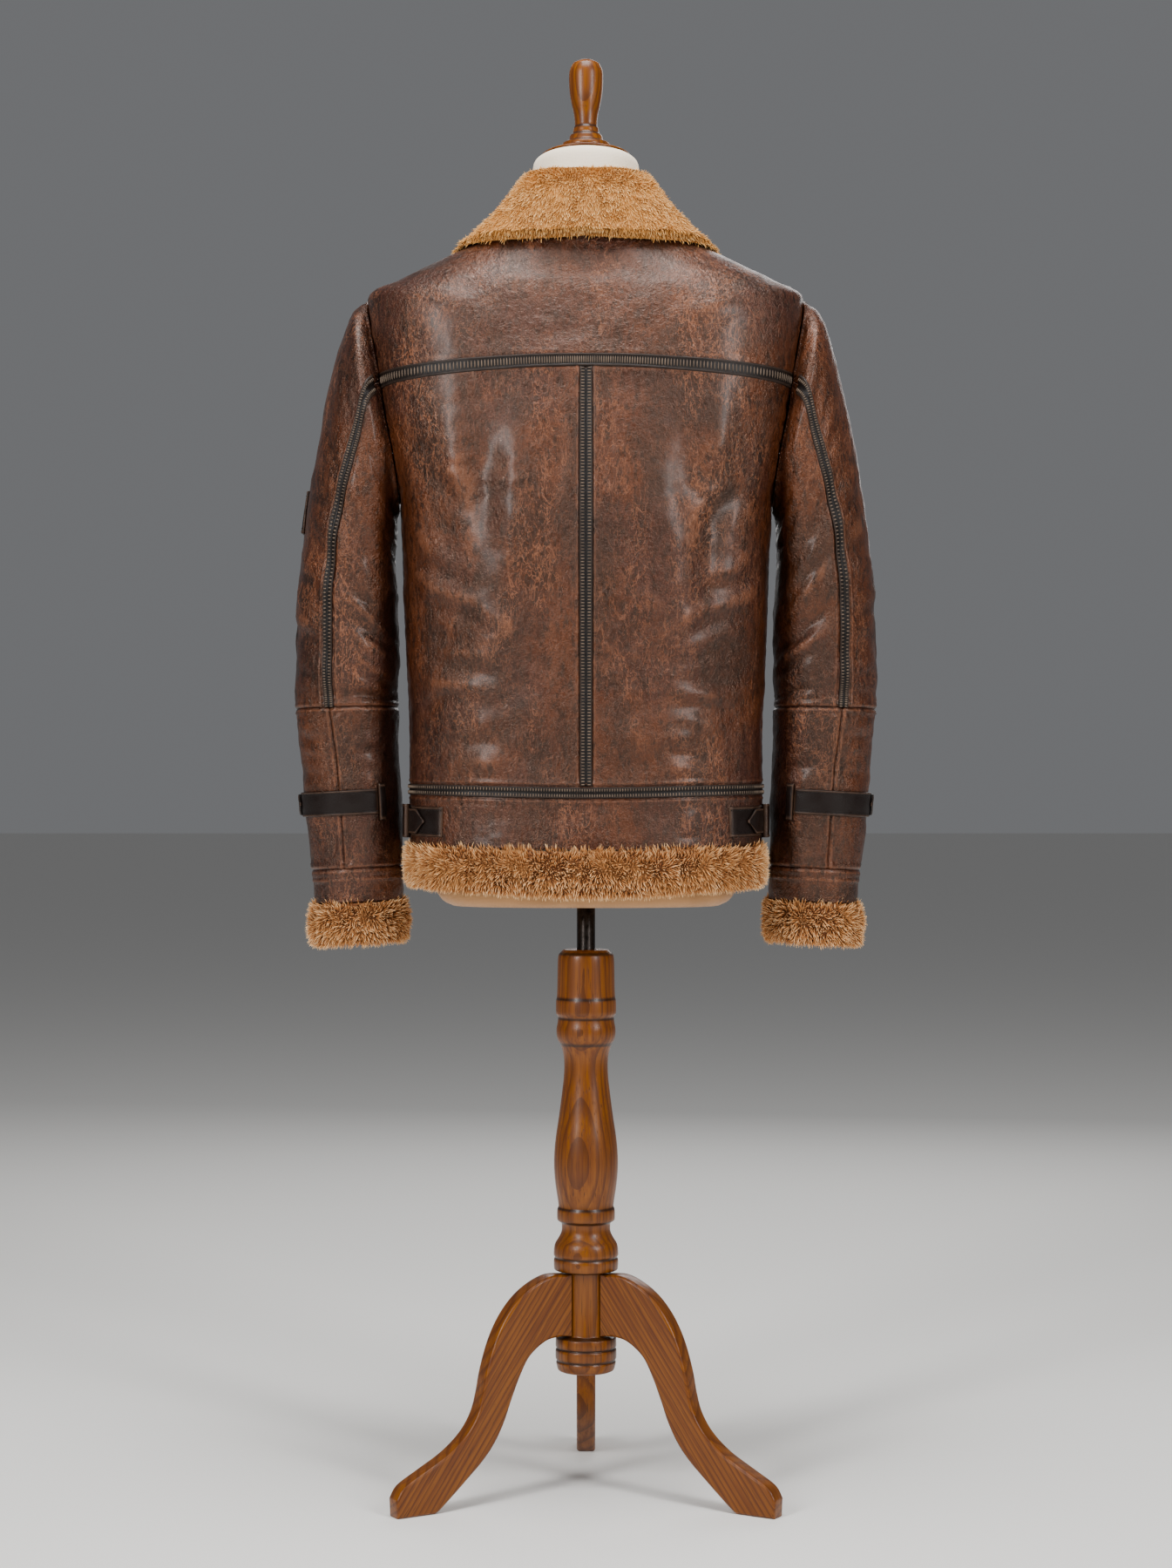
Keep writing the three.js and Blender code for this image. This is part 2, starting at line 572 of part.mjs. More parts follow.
function addBackPanels() {
  const bottom = () => WAIST_LEVEL + SEAM_GAP / 2;
  const armholeBottom = () => ARMHOLE_BOTTOM;
  const armholeTop = () => ARMHOLE_TOP;
  for (const [name, side] of [['back_left', -1], ['back_right', 1]]) {
    const turnAt = (u, level) => side * mix(SEAM_TURN, sideTurn(level, 1) - SEAM_TURN, u);
    const seam = (u) => yokeSeam(72 * u) - SEAM_GAP / 2;
    const { rows, levelAt } = levelsOf(
      { from: bottom, to: armholeBottom, shares: evenShares(LOWER_ROWS) },
      { from: armholeBottom, to: seam, shares: armholeShares(180, YOKE_EDGE_TURN, 5) },
    );
    add(name, panel(turnAt, levelAt, HALF_COLUMNS, rows), 'leather');
  }
  const turnAt = (u, level) => mix(-1, 1, u) * (sideTurn(level, 1) - SEAM_TURN);
  const seam = (u) => yokeSeam(72 * mix(-1, 1, u)) + SEAM_GAP / 2;
  const { rows, levelAt } = levelsOf(
    { from: seam, to: armholeTop, shares: armholeShares(YOKE_EDGE_TURN, 0, 4) },
    { from: armholeTop, to: () => NECK_LEVEL, shares: evenShares(4) },
  );
  add('back_yoke', panel(turnAt, levelAt, 2 * HALF_COLUMNS, rows), 'leather');
}

function addFrontPanels() {
  const { rows, levelAt } = levelsOf(
    {
      from: () => WAIST_LEVEL + SEAM_GAP / 2,
      to: () => ARMHOLE_BOTTOM,
      shares: evenShares(LOWER_ROWS - 1),
    },
    { from: () => ARMHOLE_BOTTOM, to: () => ARMHOLE_TOP, shares: armholeShares(180, 0, 8) },
    { from: () => ARMHOLE_TOP, to: () => NECK_LEVEL, shares: evenShares(4) },
  );
  for (const [name, side] of [['front_left', -1], ['front_right', 1]]) {
    const turnAt = (u, level) => {
      const depth = read(BODY_RINGS, 'level', 'front', level);
      const edge = 180 - degreesFor(ZIP_HALF_GAP, depth);
      return side * mix(sideTurn(level, -1) + SEAM_TURN, edge, u);
    };
    add(name, panel(turnAt, levelAt, HALF_COLUMNS, rows), 'leather');
  }
}

function addHemBands() {
  const levelAt = (u, v) => mix(HEM_LEVEL, WAIST_LEVEL - SEAM_GAP / 2, v);
  const edge = 180 - degreesFor(ZIP_HALF_GAP, 142);
  const spans = [
    { name: 'hem_band_back', from: -90 + SEAM_TURN, to: 90 - SEAM_TURN, columns: 2 * HALF_COLUMNS },
    { name: 'hem_band_left', from: -edge, to: -90 - SEAM_TURN, columns: HALF_COLUMNS },
    { name: 'hem_band_right', from: 90 + SEAM_TURN, to: edge, columns: HALF_COLUMNS },
  ];
  for (const span of spans) {
    const turnAt = (u) => mix(span.from, span.to, u);
    add(span.name, panel(turnAt, levelAt, span.columns, 2), 'leather');
  }
}

// A rounded section of a fur roll, from its inside to its outside and its bottom to its top.
function furSection(inner, outer, bottom, top, place) {
  const corners = 8;
  const points = [];
  for (let k = 0; k < corners; k += 1) {
    const angle = ((k + 0.5) / corners) * 360 * RADIANS;
    const fullness = (Math.abs(Math.cos(angle)) ** 3 + Math.abs(Math.sin(angle)) ** 3) ** (-1 / 3);
    const across = (Math.cos(angle) * fullness + 1) / 2;
    const up = (Math.sin(angle) * fullness + 1) / 2;
    points.push(place(mix(inner, outer, across), mix(bottom, top, up)));
  }
  return points;
}

function addHemFur() {
  const gap = degreesFor(1, 142);
  const count = 40;
  const rings = [];
  for (let i = 0; i <= count; i += 1) {
    const turn = mix(-180 + gap, 180 - gap, i / count);
    const across = Math.sin(turn * RADIANS);
    const rise = HEM_FUR.sideRise * across * across;
    const lump = 1.2 * Math.sin(turn * RADIANS * 11) + 0.8 * Math.sin(turn * RADIANS * 17);
    const middle = bodyPoint(turn, HEM_LEVEL);
    const outward = bodyNormal(turn, HEM_LEVEL).setZ(0).normalize();
    const place = (out, z) => middle.clone().addScaledVector(outward, out).setZ(z);
    const top = middle.z - (HEM_LEVEL - HEM_FUR.top);
    const bottom = HEM_FUR.bottom + rise;
    const out = mix(HEM_FUR.out, HEM_FUR.sideOut, across ** 4) + lump;
    rings.push(furSection(-HEM_FUR.inside, out, bottom, top, place));
  }
  add('hem_fur', loft(rings), 'fur');
}

// Collar: its fall lies on the shoulders, and its inside stands around the neck.

function collarSection(turn) {
  const size = (column) => read(COLLAR_ROWS, 'turn', column, Math.abs(turn));
  const direction = new THREE.Vector3(Math.sin(turn * RADIANS), -Math.cos(turn * RADIANS), 0);
  const foot = bodyPoint(turn, NECK_LEVEL + 1);
  const edge = bodyPoint(turn, size('edge'));
  const edgeNormal = bodyNormal(turn, size('edge'));
  const fold = direction.clone().multiplyScalar(size('topRadius')).setZ(size('topZ'));
  const crest = fold.clone().addScaledVector(direction, COLLAR_FOLD_ROUND);
  const tip = edge.clone().addScaledVector(edgeNormal, size('fur'));
  const under = (level) => bodyPoint(turn, level)
    .addScaledVector(bodyNormal(turn, level), COLLAR_LIFT);
  const swell = new THREE.Vector3(direction.x, direction.y, 1).multiplyScalar(size('swell'));
  const onFall = (t) => crest.clone().lerp(tip, t).addScaledVector(swell, Math.sin(t * Math.PI));
  const outside = edge.clone().addScaledVector(edgeNormal, size('fur') * 0.45);
  outside.addScaledVector(direction, 3);
  return [
    foot.clone().addScaledVector(direction, -6),
    fold.clone().setZ(fold.z - COLLAR_FOLD_ROUND),
    fold.clone().addScaledVector(direction, 2).setZ(fold.z - 2),
    crest,
    onFall(0.3),
    onFall(0.6),
    onFall(0.85),
    tip.clone().addScaledVector(direction, 1),
    outside,
    under(size('edge')),
    under(mix(size('edge'), NECK_LEVEL, 0.5)),
    under(NECK_LEVEL - 1),
    foot.clone().setZ(foot.z + 1.5),
  ];
}

function addCollar() {
  const count = 28;
  const rings = [];
  for (let i = 0; i <= count; i += 1) {
    rings.push(collarSection(mix(-COLLAR_OPEN_TURN, COLLAR_OPEN_TURN, i / count)));
  }
  add('collar', loft(rings), 'fur');
}

// Sleeves

function sleevePiece(side, fromTurn, toTurn, fromStep, toStep, columns, rows) {
  const place = (point) => (u, v) => {
    const step = mix(fromStep, toStep, v);
    const gap = degreesFor(SEAM_GAP / 2, 55);
    return point(mix(fromTurn(step) + gap, toTurn(step) - gap, u), step);
  };
  const outer = place((turn, step) => armPoint(turn, step, side, 0));
  const inner = place((turn, step) => armInside(turn, step, side));
  return slab(outer, inner, columns, rows);
}

// The back seam leaves the armhole where the yoke's seam meets it, and swings down from there.
const SEAM_SWING = -3;
const backSeam = (step) => read(SLEEVE_RINGS, 'step', 'seam', Math.max(step, 1))
  + SEAM_SWING * Math.max(0, 1 - step / 2) ** 2;

function ringWall(side, fromStep, toStep, around) {
  const section = (t) => {
    const turn = 360 * t;
    return [
      armPoint(turn, fromStep, side, 0), armPoint(turn, toStep, side, 0),
      armPoint(turn, toStep, side, -SLEEVE_WALL), armPoint(turn, fromStep, side, -SLEEVE_WALL),
    ];
  };
  return roll(section, around);
}

function addSleeve(word, side) {
  const innerSeam = () => INNER_SEAM_TURN;
  const innerSeamBefore = () => INNER_SEAM_TURN - 360;
  const elbow = ELBOW_STEP - ELBOW_GAP;
  const forearm = ELBOW_STEP + ELBOW_GAP;
  const cuff = CUFF_STEP - ELBOW_GAP / 2;
  add(`${word}_topsleeve`, sleevePiece(side, innerSeamBefore, backSeam, 0, elbow, 9, SLEEVE_ROWS), 'leather');
  add(`${word}_undersleeve`, sleevePiece(side, backSeam, innerSeam, 0, elbow, 9, SLEEVE_ROWS), 'leather');
  add(`${word}_forearm_outer`,
    sleevePiece(side, innerSeamBefore, backSeam, forearm, cuff, 9, 7), 'leather');
  add(`${word}_forearm_inner`,
    sleevePiece(side, backSeam, innerSeam, forearm, cuff, 9, 7), 'leather');
  add(`${word}_cuff_band`, ringWall(side, CUFF_STEP + ELBOW_GAP / 2, MOUTH_STEP, 18), 'leather');
}

function addCuffFur(word, side) {
  const section = (t) => {
    const turn = 360 * t;
    const rim = sleeveRing(MOUTH_STEP, turn, side);
    const below = sleeveRing(MOUTH_STEP, turn + 180, side);
    const outward = rim.clone().sub(below).setZ(0).normalize();
    const lump = 0.9 * Math.sin(turn * RADIANS * 7) + 0.6 * Math.sin(turn * RADIANS * 4 + 1);
    const place = (out, z) => rim.clone().addScaledVector(outward, out).setZ(z);
    const top = rim.z - CUFF_FUR.gap;
    return furSection(-CUFF_FUR.inside, CUFF_FUR.out + lump, top - CUFF_FUR.height, top, place);
  };
  add(`${word}_cuff_fur`, roll(section, 18), 'fur');
}

// Trim that lies on a panel: made from the panel's points, moved out

function bodyTrim(turnAt, levelAt, low, high, columns, rows) {
  const face = (out) => (u, v) => coatPoint(turnAt(u, v), levelAt(u, v), out);
  return slab(face(high), face(low), columns, rows);
}

function sleeveTrim(side, turnAt, stepAt, low, high, columns, rows) {
  const face = (out) => (u, v) => armPoint(turnAt(u, v), stepAt(u, v), side, out);
  return slab(face(high), face(low), columns, rows);
}

function addTapes() {
  const high = TRIM_LIFT + TAPE_WALL;
  const seamEnd = sideTurn(yokeSeam(72), 1);
  const stopAt = (turn, end) => Math.min(Math.max(turn, -end), end);
  const yokeTurn = (u) => stopAt(mix(-seamEnd, seamEnd, u), seamEnd - 2.4);
  const yokeLevel = (u, v) => yokeSeam(yokeTurn(u)) + TAPE_WIDTH * (v - 0.5);
  add('yoke_tape', bodyTrim(yokeTurn, yokeLevel, TRIM_LIFT, high, 2 * HALF_COLUMNS, 1), 'tape');

  const halfTurn = degreesFor(TAPE_WIDTH / 2, 131);
  const spineTurn = (u) => mix(-halfTurn, halfTurn, u);
  const spineBottom = WAIST_LEVEL + TAPE_WIDTH / 2 + SEAM_GAP;
  const spineTop = YOKE_LEVEL - TAPE_WIDTH / 2 - SEAM_GAP;
  const spine = levelsOf(
    { from: () => spineBottom, to: () => ARMHOLE_BOTTOM, shares: evenShares(LOWER_ROWS) },
    {
      from: () => ARMHOLE_BOTTOM,
      to: () => spineTop,
      shares: armholeShares(180, YOKE_EDGE_TURN, 5),
    },
  );
  const spineTape = bodyTrim(spineTurn, spine.levelAt, TRIM_LIFT, high, 2, spine.rows);
  add('centre_back_tape', spineTape, 'tape');

  const waistTurn = (u) => stopAt(mix(-90, 90, u), 86);
  const waistLevel = (u, v) => WAIST_LEVEL + (TAPE_WIDTH - 2) * (v - 0.5);
  add('waist_tape', bodyTrim(waistTurn, waistLevel, TRIM_LIFT, high, 2 * HALF_COLUMNS, 1), 'tape');

  for (const [word, side] of [['left', -1], ['right', 1]]) {
    const reach = degreesFor((TAPE_WIDTH - 2) / 2, 58);
    const stepAt = (u, v) => (ELBOW_STEP - ELBOW_GAP) * mix(1 / SLEEVE_ROWS, 1, v);
    const turnAt = (u, v) => backSeam(stepAt(u, v)) + mix(-reach, reach, u);
    const rows = SLEEVE_ROWS - 1;
    add(`${word}_sleeve_tape`, sleeveTrim(side, turnAt, stepAt, TRIM_LIFT, high, 2, rows), 'tape');
  }
}

// Cuff straps: a strap on the outside and back of the forearm, pointed at its free end.
// The end of a second strap, sewn to the front of the sleeve, lies over it and points back.
const CUFF_STRAP = {
  middle: 11.67, half: 0.31, keeperTurn: 124, tipTurn: -24, pointTurn: 16,
  endHalf: 0.27, endFrom: -22, endTo: 16,
};

function addCuffStraps() {
  const { middle, half, keeperTurn, tipTurn, pointTurn, endHalf, endFrom, endTo } = CUFF_STRAP;
  const high = TRIM_LIFT + STRAP_WALL;
  for (const [word, side] of [['left', -1], ['right', 1]]) {
    const turnAt = (u) => mix(keeperTurn - 1, tipTurn, u);
    const reachAt = (turn) => half * Math.min(1, (turn - tipTurn + 2) / pointTurn);
    const stepAt = (u, v) => middle + reachAt(turnAt(u)) * mix(-1, 1, v);
    add(`${word}_cuff_strap`, sleeveTrim(side, turnAt, stepAt, TRIM_LIFT, high, 16, 2), 'darkLeather');

    const keeperSpan = degreesFor(7, 52);
    const keeperAt = (u) => mix(keeperTurn, keeperTurn + keeperSpan, u);
    const keeperStep = (u, v) => middle + (half + 0.13) * mix(-1, 1, v);
    const keeper = sleeveTrim(side, keeperAt, keeperStep, TRIM_LIFT, high + 2, 2, 2);
    add(`${word}_cuff_keeper`, keeper, 'darkLeather');

    const endAt = (u) => mix(endFrom, endTo, u);
    const endReach = (turn) => endHalf * Math.min(1, (endTo + 2 - turn) / pointTurn);
    const endStep = (u, v) => middle + endReach(endAt(u)) * mix(-1, 1, v);
    const endLow = high + TRIM_LIFT;
    const strapEnd = sleeveTrim(side, endAt, endStep, endLow, endLow + STRAP_WALL, 6, 2);
    add(`${word}_cuff_strap_end`, strapEnd, 'darkLeather');
  }
}

// Side adjusters on the hem band: a patch, a pointed strap end and the loop it passes through.
const ADJUSTER = { level: 686, patchHalf: 15, strapHalf: 12.5, loopHalf: 17 };
const ADJUSTER_TURNS = { patchFrom: 57.5, patchTo: 104, tip: 65.5, loopFrom: 77, loopTo: 82 };

function addSideAdjusters() {
  const { level, patchHalf, strapHalf, loopHalf } = ADJUSTER;
  const { patchFrom, patchTo, tip, loopFrom, loopTo } = ADJUSTER_TURNS;
  const patchTop = TRIM_LIFT + 1.4;
  const strapBottom = patchTop + TRIM_LIFT;
  for (const [word, side] of [['left', -1], ['right', 1]]) {
    const patchTurn = (u) => side * mix(patchFrom, patchTo, u);
    const patchLevel = (u, v) => level + patchHalf * mix(-1, 1, v);
    const patch = bodyTrim(patchTurn, patchLevel, TRIM_LIFT, patchTop, 8, 1);
    add(`${word}_adjuster_patch`, patch, 'darkLeather');

    const strapTurn = (u) => side * mix(tip, loopFrom - 0.3, u);
    const strapLevel = (u, v) => {
      const reach = strapHalf * Math.min(1, 0.08 + u * 2.2);
      return level + reach * mix(-1, 1, v);
    };
    const strap = bodyTrim(strapTurn, strapLevel, strapBottom, strapBottom + STRAP_WALL, 6, 2);
    add(`${word}_adjuster_strap`, strap, 'darkLeather');

    const loopTurn = (u) => side * mix(loopFrom, loopTo, u);
    const loopLevel = (u, v) => level + loopHalf * mix(-1, 1, v);
    const loop = bodyTrim(loopTurn, loopLevel, strapBottom, strapBottom + 6.5, 2, 2);
    add(`${word}_adjuster_loop`, loop, 'darkLeather');
  }
}

// The flap of the small pocket on the left upper arm
const POCKET_FLAP = { fromTurn: -34, toTurn: 4, fromStep: 4.7, toStep: 5.42, wall: 2.6 };

function addPocketFlap() {
  const { fromTurn, toTurn, fromStep, toStep, wall } = POCKET_FLAP;
  const turnAt = (u) => mix(fromTurn, toTurn, u);
  const stepAt = (u, v) => mix(fromStep, toStep, v);
  const outer = (u, v) => armPoint(turnAt(u), stepAt(u, v), -1, TRIM_LIFT + 1.2 + (wall - 1.2) * v);
  const inner = (u, v) => armPoint(turnAt(u), stepAt(u, v), -1, TRIM_LIFT);
  add('left_pocket_flap', slab(outer, inner, 4, 2), 'darkLeather');
}

// Zip: a strip between the two fronts, a slider with two ears and a pin, and a pull tab on it

function addZip() {
  const turnAt = (u, level) => {
    const depth = read(BODY_RINGS, 'level', 'front', level);
    return 180 + degreesFor(ZIP_HALF_STRIP, depth) * mix(-1, 1, u);
  };
  const levelAt = (v) => mix(HEM_LEVEL + 1, NECK_LEVEL - 18, v);
  const face = (out) => (u, v) => bodyPoint(turnAt(u, levelAt(v)), levelAt(v))
    .addScaledVector(bodyNormal(turnAt(u, levelAt(v)), levelAt(v)), out);
  add('front_zip', slab(face(-1.2), face(-3.6), 1, 24), 'zip');

  const seat = bodyPoint(180, SLIDER_LEVEL);
  const lean = bodyNormal(180, SLIDER_LEVEL);
  const slider = new THREE.Group();
  slider.position.copy(seat);
  slider.rotation.x = Math.atan2(lean.z, lean.y);
  model.add(slider);

  const bodyHeight = 15;
  const bodyWidth = 11;
  const bodyWall = 3;
  const bodyBottom = 0.6;
  const pinOut = bodyBottom + bodyWall + PIN_STAND_OFF;
  const plate = new THREE.BoxGeometry(bodyWidth, bodyWall, bodyHeight);
  plate.translate(0, bodyBottom + bodyWall / 2, -bodyHeight / 2 + 4);
  let body = toManifold(plate);
  const earWall = 1.6;
  for (const direction of [-1, 1]) {
    const ear = new THREE.CylinderGeometry(EYE_RADIUS, EYE_RADIUS, earWall, 12);
    ear.rotateZ(90 * RADIANS);
    const earX = direction * (PULL_WIDTH / 2 + SEAM_GAP + earWall / 2);
    ear.translate(earX, pinOut, 0);
    const foot = new THREE.BoxGeometry(earWall, pinOut - bodyBottom, EYE_RADIUS * 2);
    foot.translate(earX, (pinOut + bodyBottom) / 2, 0);
    body = body.add(toManifold(ear)).add(toManifold(foot));
  }
  const pin = new THREE.CylinderGeometry(PIN_RADIUS, PIN_RADIUS, PULL_WIDTH + 2, 10);
  pin.rotateZ(90 * RADIANS).translate(0, pinOut, 0);
  add('zip_slider', fromManifold(body.add(toManifold(pin))), 'zip', slider);

  const half = PULL_WALL / 2;
  const shoulder = Math.asin(half / EYE_RADIUS);
  const outline = new THREE.Shape();
  outline.moveTo(-half, -PULL_LENGTH);
  outline.lineTo(half, -PULL_LENGTH);
  outline.absarc(0, 0, EYE_RADIUS, -Math.PI / 2 + shoulder, Math.PI * 1.5 - shoulder, false);
  const hole = new THREE.Path();
  hole.absarc(0, 0, EYE_HOLE_RADIUS, 0, Math.PI * 2, true);
  outline.holes.push(hole);
  const tab = new THREE.ExtrudeGeometry(outline, {
    depth: PULL_WIDTH, bevelEnabled: false, curveSegments: 12,
  });
  // The outline's x becomes the way out of the coat, its y stays up, and its depth runs across.
  tab.applyMatrix4(new THREE.Matrix4().set(
    0, 0, 1, -PULL_WIDTH / 2,
    1, 0, 0, pinOut,
    0, 1, 0, 0,
    0, 0, 0, 1,
  ));
  add('zip_pull', tab, 'zip', slider);
}

// Dress form: the coat's own surface, moved in to clear the shearling, closed at the neck

const FORM_ROWS = [
  { level: 632, inset: 27 }, { level: 662, inset: 25 }, { level: 790, inset: 27 },
  { level: 960, inset: 17 }, { level: 1090, inset: 16 }, { level: 1150, inset: 17 },
  { level: 1185, inset: 13 }, { level: 1215, inset: 8 }, { level: 1245, inset: 7.6 },
  { level: 1275, inset: 8 }, { level: 1296, inset: 13 },
];
const NECK_RINGS = [
  { z: 1306, half: 66, depth: 57 }, { z: 1325, half: 59, depth: 55 },
  { z: 1345, half: 55.5, depth: 54 }, { z: 1362, half: 54, depth: 53 },
  { z: 1367, half: 50, depth: 49 },
];
const NECK_TILT = 0.13;
const NECK_CAP = { bottom: 1367.4, top: 1374, half: 46, depth: 44 };
const FORM_AROUND = 24;

function neckRing(half, depth, z, tilt) {
  const points = [];
  for (let i = 0; i < FORM_AROUND; i += 1) {
    const turn = (360 * i) / FORM_AROUND;
    const x = half * Math.sin(turn * RADIANS);
    const y = -depth * Math.cos(turn * RADIANS);
    points.push(new THREE.Vector3(x, y, z - y * tilt));
  }
  return points;
}

function formRing(level, extra) {
  const points = [];
  const inset = read(FORM_ROWS, 'level', 'inset', level) + extra;
  for (let i = 0; i < FORM_AROUND; i += 1) {
    const turn = (360 * i) / FORM_AROUND;
    const normal = bodyNormal(turn, level);
    if (level < ARMHOLE_BOTTOM) normal.setZ(0).normalize();
    points.push(bodyPoint(turn, level).addScaledVector(normal, -inset));
  }
  return points;
}

function levelRing(z, extra) {
  return formRing(FORM_BASE_TOP, extra).map((point) => point.clone().setZ(z));
}

function addForm() {
  const levels = [690, 790, 880, 960, 1020, 1080, 1130, 1165, 1190, 1212, 1234, 1256, 1278, 1296];
  const rings = [levelRing(FORM_BASE_TOP + SEAM_GAP, 1), ...levels.map((level) => formRing(level, 0))];
  for (const { z, half, depth } of NECK_RINGS) {
    rings.push(neckRing(half, depth, z, NECK_TILT));
  }
  add('form_body', loft(rings), 'cover');

  const base = loft([
    levelRing(FORM_BOTTOM, 16), levelRing(FORM_BOTTOM + 5, 6), levelRing(FORM_BOTTOM + 14, 0),
    levelRing(FORM_BASE_TOP, 0),
  ]);
  const socketHeight = POLE_TOP + SEAM_GAP - FORM_BOTTOM + 2;
  const socket = new THREE.CylinderGeometry(POLE_BORE_RADIUS, POLE_BORE_RADIUS, socketHeight, 20);
  socket.rotateX(90 * RADIANS).translate(0, 0, FORM_BOTTOM - 2 + socketHeight / 2);
  add('form_base', fromManifold(toManifold(base).subtract(toManifold(socket))), 'base');

  const cap = loft([
    neckRing(NECK_CAP.half - 2, NECK_CAP.depth - 2, NECK_CAP.bottom, NECK_TILT),
    neckRing(NECK_CAP.half, NECK_CAP.depth, NECK_CAP.bottom + 2, NECK_TILT),
    neckRing(NECK_CAP.half - 1, NECK_CAP.depth - 1, NECK_CAP.top - 2, NECK_TILT),
    neckRing(NECK_CAP.half * 0.7, NECK_CAP.depth * 0.7, NECK_CAP.top + 2, NECK_TILT / 2),
    neckRing(26, 26, FINIAL_PROFILE[0].z - SEAM_GAP, 0),
  ]);
  add('neck_cap', cap, 'oak');

  const finial = [{ z: FINIAL_PROFILE[0].z, r: 0 }, ...FINIAL_PROFILE, { z: FINIAL_TOP, r: 0 }];
  add('finial', lathe(finial, 12), 'oak');
}

function addStand() {
  const pole = [
    { z: POLE_BOTTOM, r: 0 }, { z: POLE_BOTTOM, r: POLE_RADIUS },
    { z: POLE_TOP, r: POLE_RADIUS }, { z: POLE_TOP, r: 0 },
  ];
  add('pole', lathe(pole, 20), 'pole');

  const top = COLUMN_PROFILE[0].z;
  const bottom = COLUMN_PROFILE[COLUMN_PROFILE.length - 1].z;
  const column = [
    { z: BORE_FLOOR, r: 0 }, { z: BORE_FLOOR, r: POLE_BORE_RADIUS },
    { z: top, r: POLE_BORE_RADIUS }, ...COLUMN_PROFILE, { z: bottom, r: 0 },
  ];
  add('column', lathe(column, 16), 'oak');

  const hubFace = HUB_RADIUS + SEAM_GAP;
  const toPoint = ({ out, z }) => new THREE.Vector2(out, z);
  const outline = new THREE.Shape();
  outline.moveTo(hubFace, LEG_UPPER_EDGE[0].z - 1);
  outline.splineThru(LEG_UPPER_EDGE.map(toPoint));
  outline.lineTo(LEG_TOE.out, LEG_TOE.z);
  outline.lineTo(LEG_HEEL.out, LEG_HEEL.z);
  outline.splineThru(LEG_LOWER_EDGE.map(toPoint));
  outline.lineTo(hubFace, LEG_LOWER_EDGE[LEG_LOWER_EDGE.length - 1].z);
  LEG_TURNS.forEach((turn, i) => {
    const leg = new THREE.ExtrudeGeometry(outline, {
      depth: LEG_WALL, curveSegments: 2, bevelEnabled: false,
    });
    // The outline stands upright in the plane of +Y, then turns about the column.
    leg.applyMatrix4(new THREE.Matrix4().set(
      0, 0, 1, -LEG_WALL / 2,
      1, 0, 0, 0,
      0, 1, 0, 0,
      0, 0, 0, 1,
    ));
    leg.rotateZ(turn * RADIANS);
    add(`leg_${i + 1}`, leg, 'oak');
  });
}

addBackPanels();
addFrontPanels();
addHemBands();
addHemFur();
addCollar();
for (const [word, side] of [['left', -1], ['right', 1]]) {
  addSleeve(word, side);
  addCuffFur(word, side);
}
addTapes();
addCuffStraps();
addSideAdjusters();
addPocketFlap();
addZip();
addForm();
addStand();

export default model;
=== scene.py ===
"""Shearling coat, filled out on a limbless dress form that stands on a turned oak tripod.

The tables are in millimetres (mm) about the column's axis: +Z up, +Y the way the coat faces, +X the
wearer's right. `to_frame` turns such points into metres in the model's own frame.
"""
import logging
import math
from dataclasses import dataclass
from enum import Enum
from typing import Callable, Sequence

import bpy
import numpy as np
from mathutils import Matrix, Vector


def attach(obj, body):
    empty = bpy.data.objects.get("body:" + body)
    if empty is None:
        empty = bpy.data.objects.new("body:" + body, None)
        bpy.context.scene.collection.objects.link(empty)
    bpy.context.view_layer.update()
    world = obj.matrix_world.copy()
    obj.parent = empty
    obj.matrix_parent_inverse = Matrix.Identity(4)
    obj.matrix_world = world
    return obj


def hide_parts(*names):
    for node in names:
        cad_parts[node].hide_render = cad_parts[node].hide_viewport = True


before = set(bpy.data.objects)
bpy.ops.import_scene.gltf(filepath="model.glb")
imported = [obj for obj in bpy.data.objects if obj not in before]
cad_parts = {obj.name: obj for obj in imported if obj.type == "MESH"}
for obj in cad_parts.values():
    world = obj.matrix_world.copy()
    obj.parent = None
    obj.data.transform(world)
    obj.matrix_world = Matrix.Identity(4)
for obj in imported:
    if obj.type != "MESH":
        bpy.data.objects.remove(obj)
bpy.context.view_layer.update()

LOG = logging.getLogger("shearling_coat")
Array = np.ndarray
Pair = tuple[np.ndarray, np.ndarray]
Piece = bpy.types.Object
Socket = bpy.types.NodeSocket
Material = bpy.types.Material
SIDES = (("left", -1), ("right", 1))

MM = 0.001
FRAME_Y = -39.0
UP = np.array([0, 0, 1.0])

# Walls and gaps
BODY_WALL = 6.0
SLEEVE_WALL = 5.0
SEAM_GAP = 0.3
ARMHOLE_LIFT = 1.2
COLLAR_LIFT = 2.1
TRIM_LIFT = 0.5
TAPE_WALL = 1.6
TAPE_WIDTH = 13.0
STRAP_WALL = 2.4
STRAP_STEP = 11.67
ADJUSTER_LEVEL = 686.0

# Heights of the coat's seams at the centre back
HEM_LEVEL = 662.0
WAIST_LEVEL = 718.0
YOKE_LEVEL = 1145.0
YOKE_DIP = 33.0
NECK_LEVEL = 1300.0

# The armhole, a closed curve around the side of the body
ARMHOLE_MIDDLE = 1098.0
ARMHOLE_HALF_HEIGHT = 87.0
ARMHOLE_HALF_TURN = 20.5
ARMHOLE_LEAN = 6.5
LEAN_BOTTOM, LEAN_TOP = 1020.0, 1108.0
ARMHOLE_BOTTOM = ARMHOLE_MIDDLE - ARMHOLE_HALF_HEIGHT
ARMHOLE_TOP = ARMHOLE_MIDDLE + ARMHOLE_HALF_HEIGHT
ARMHOLE_SEAM_LAP = 5.0

# Front closure
ZIP_HALF_GAP = 3.6

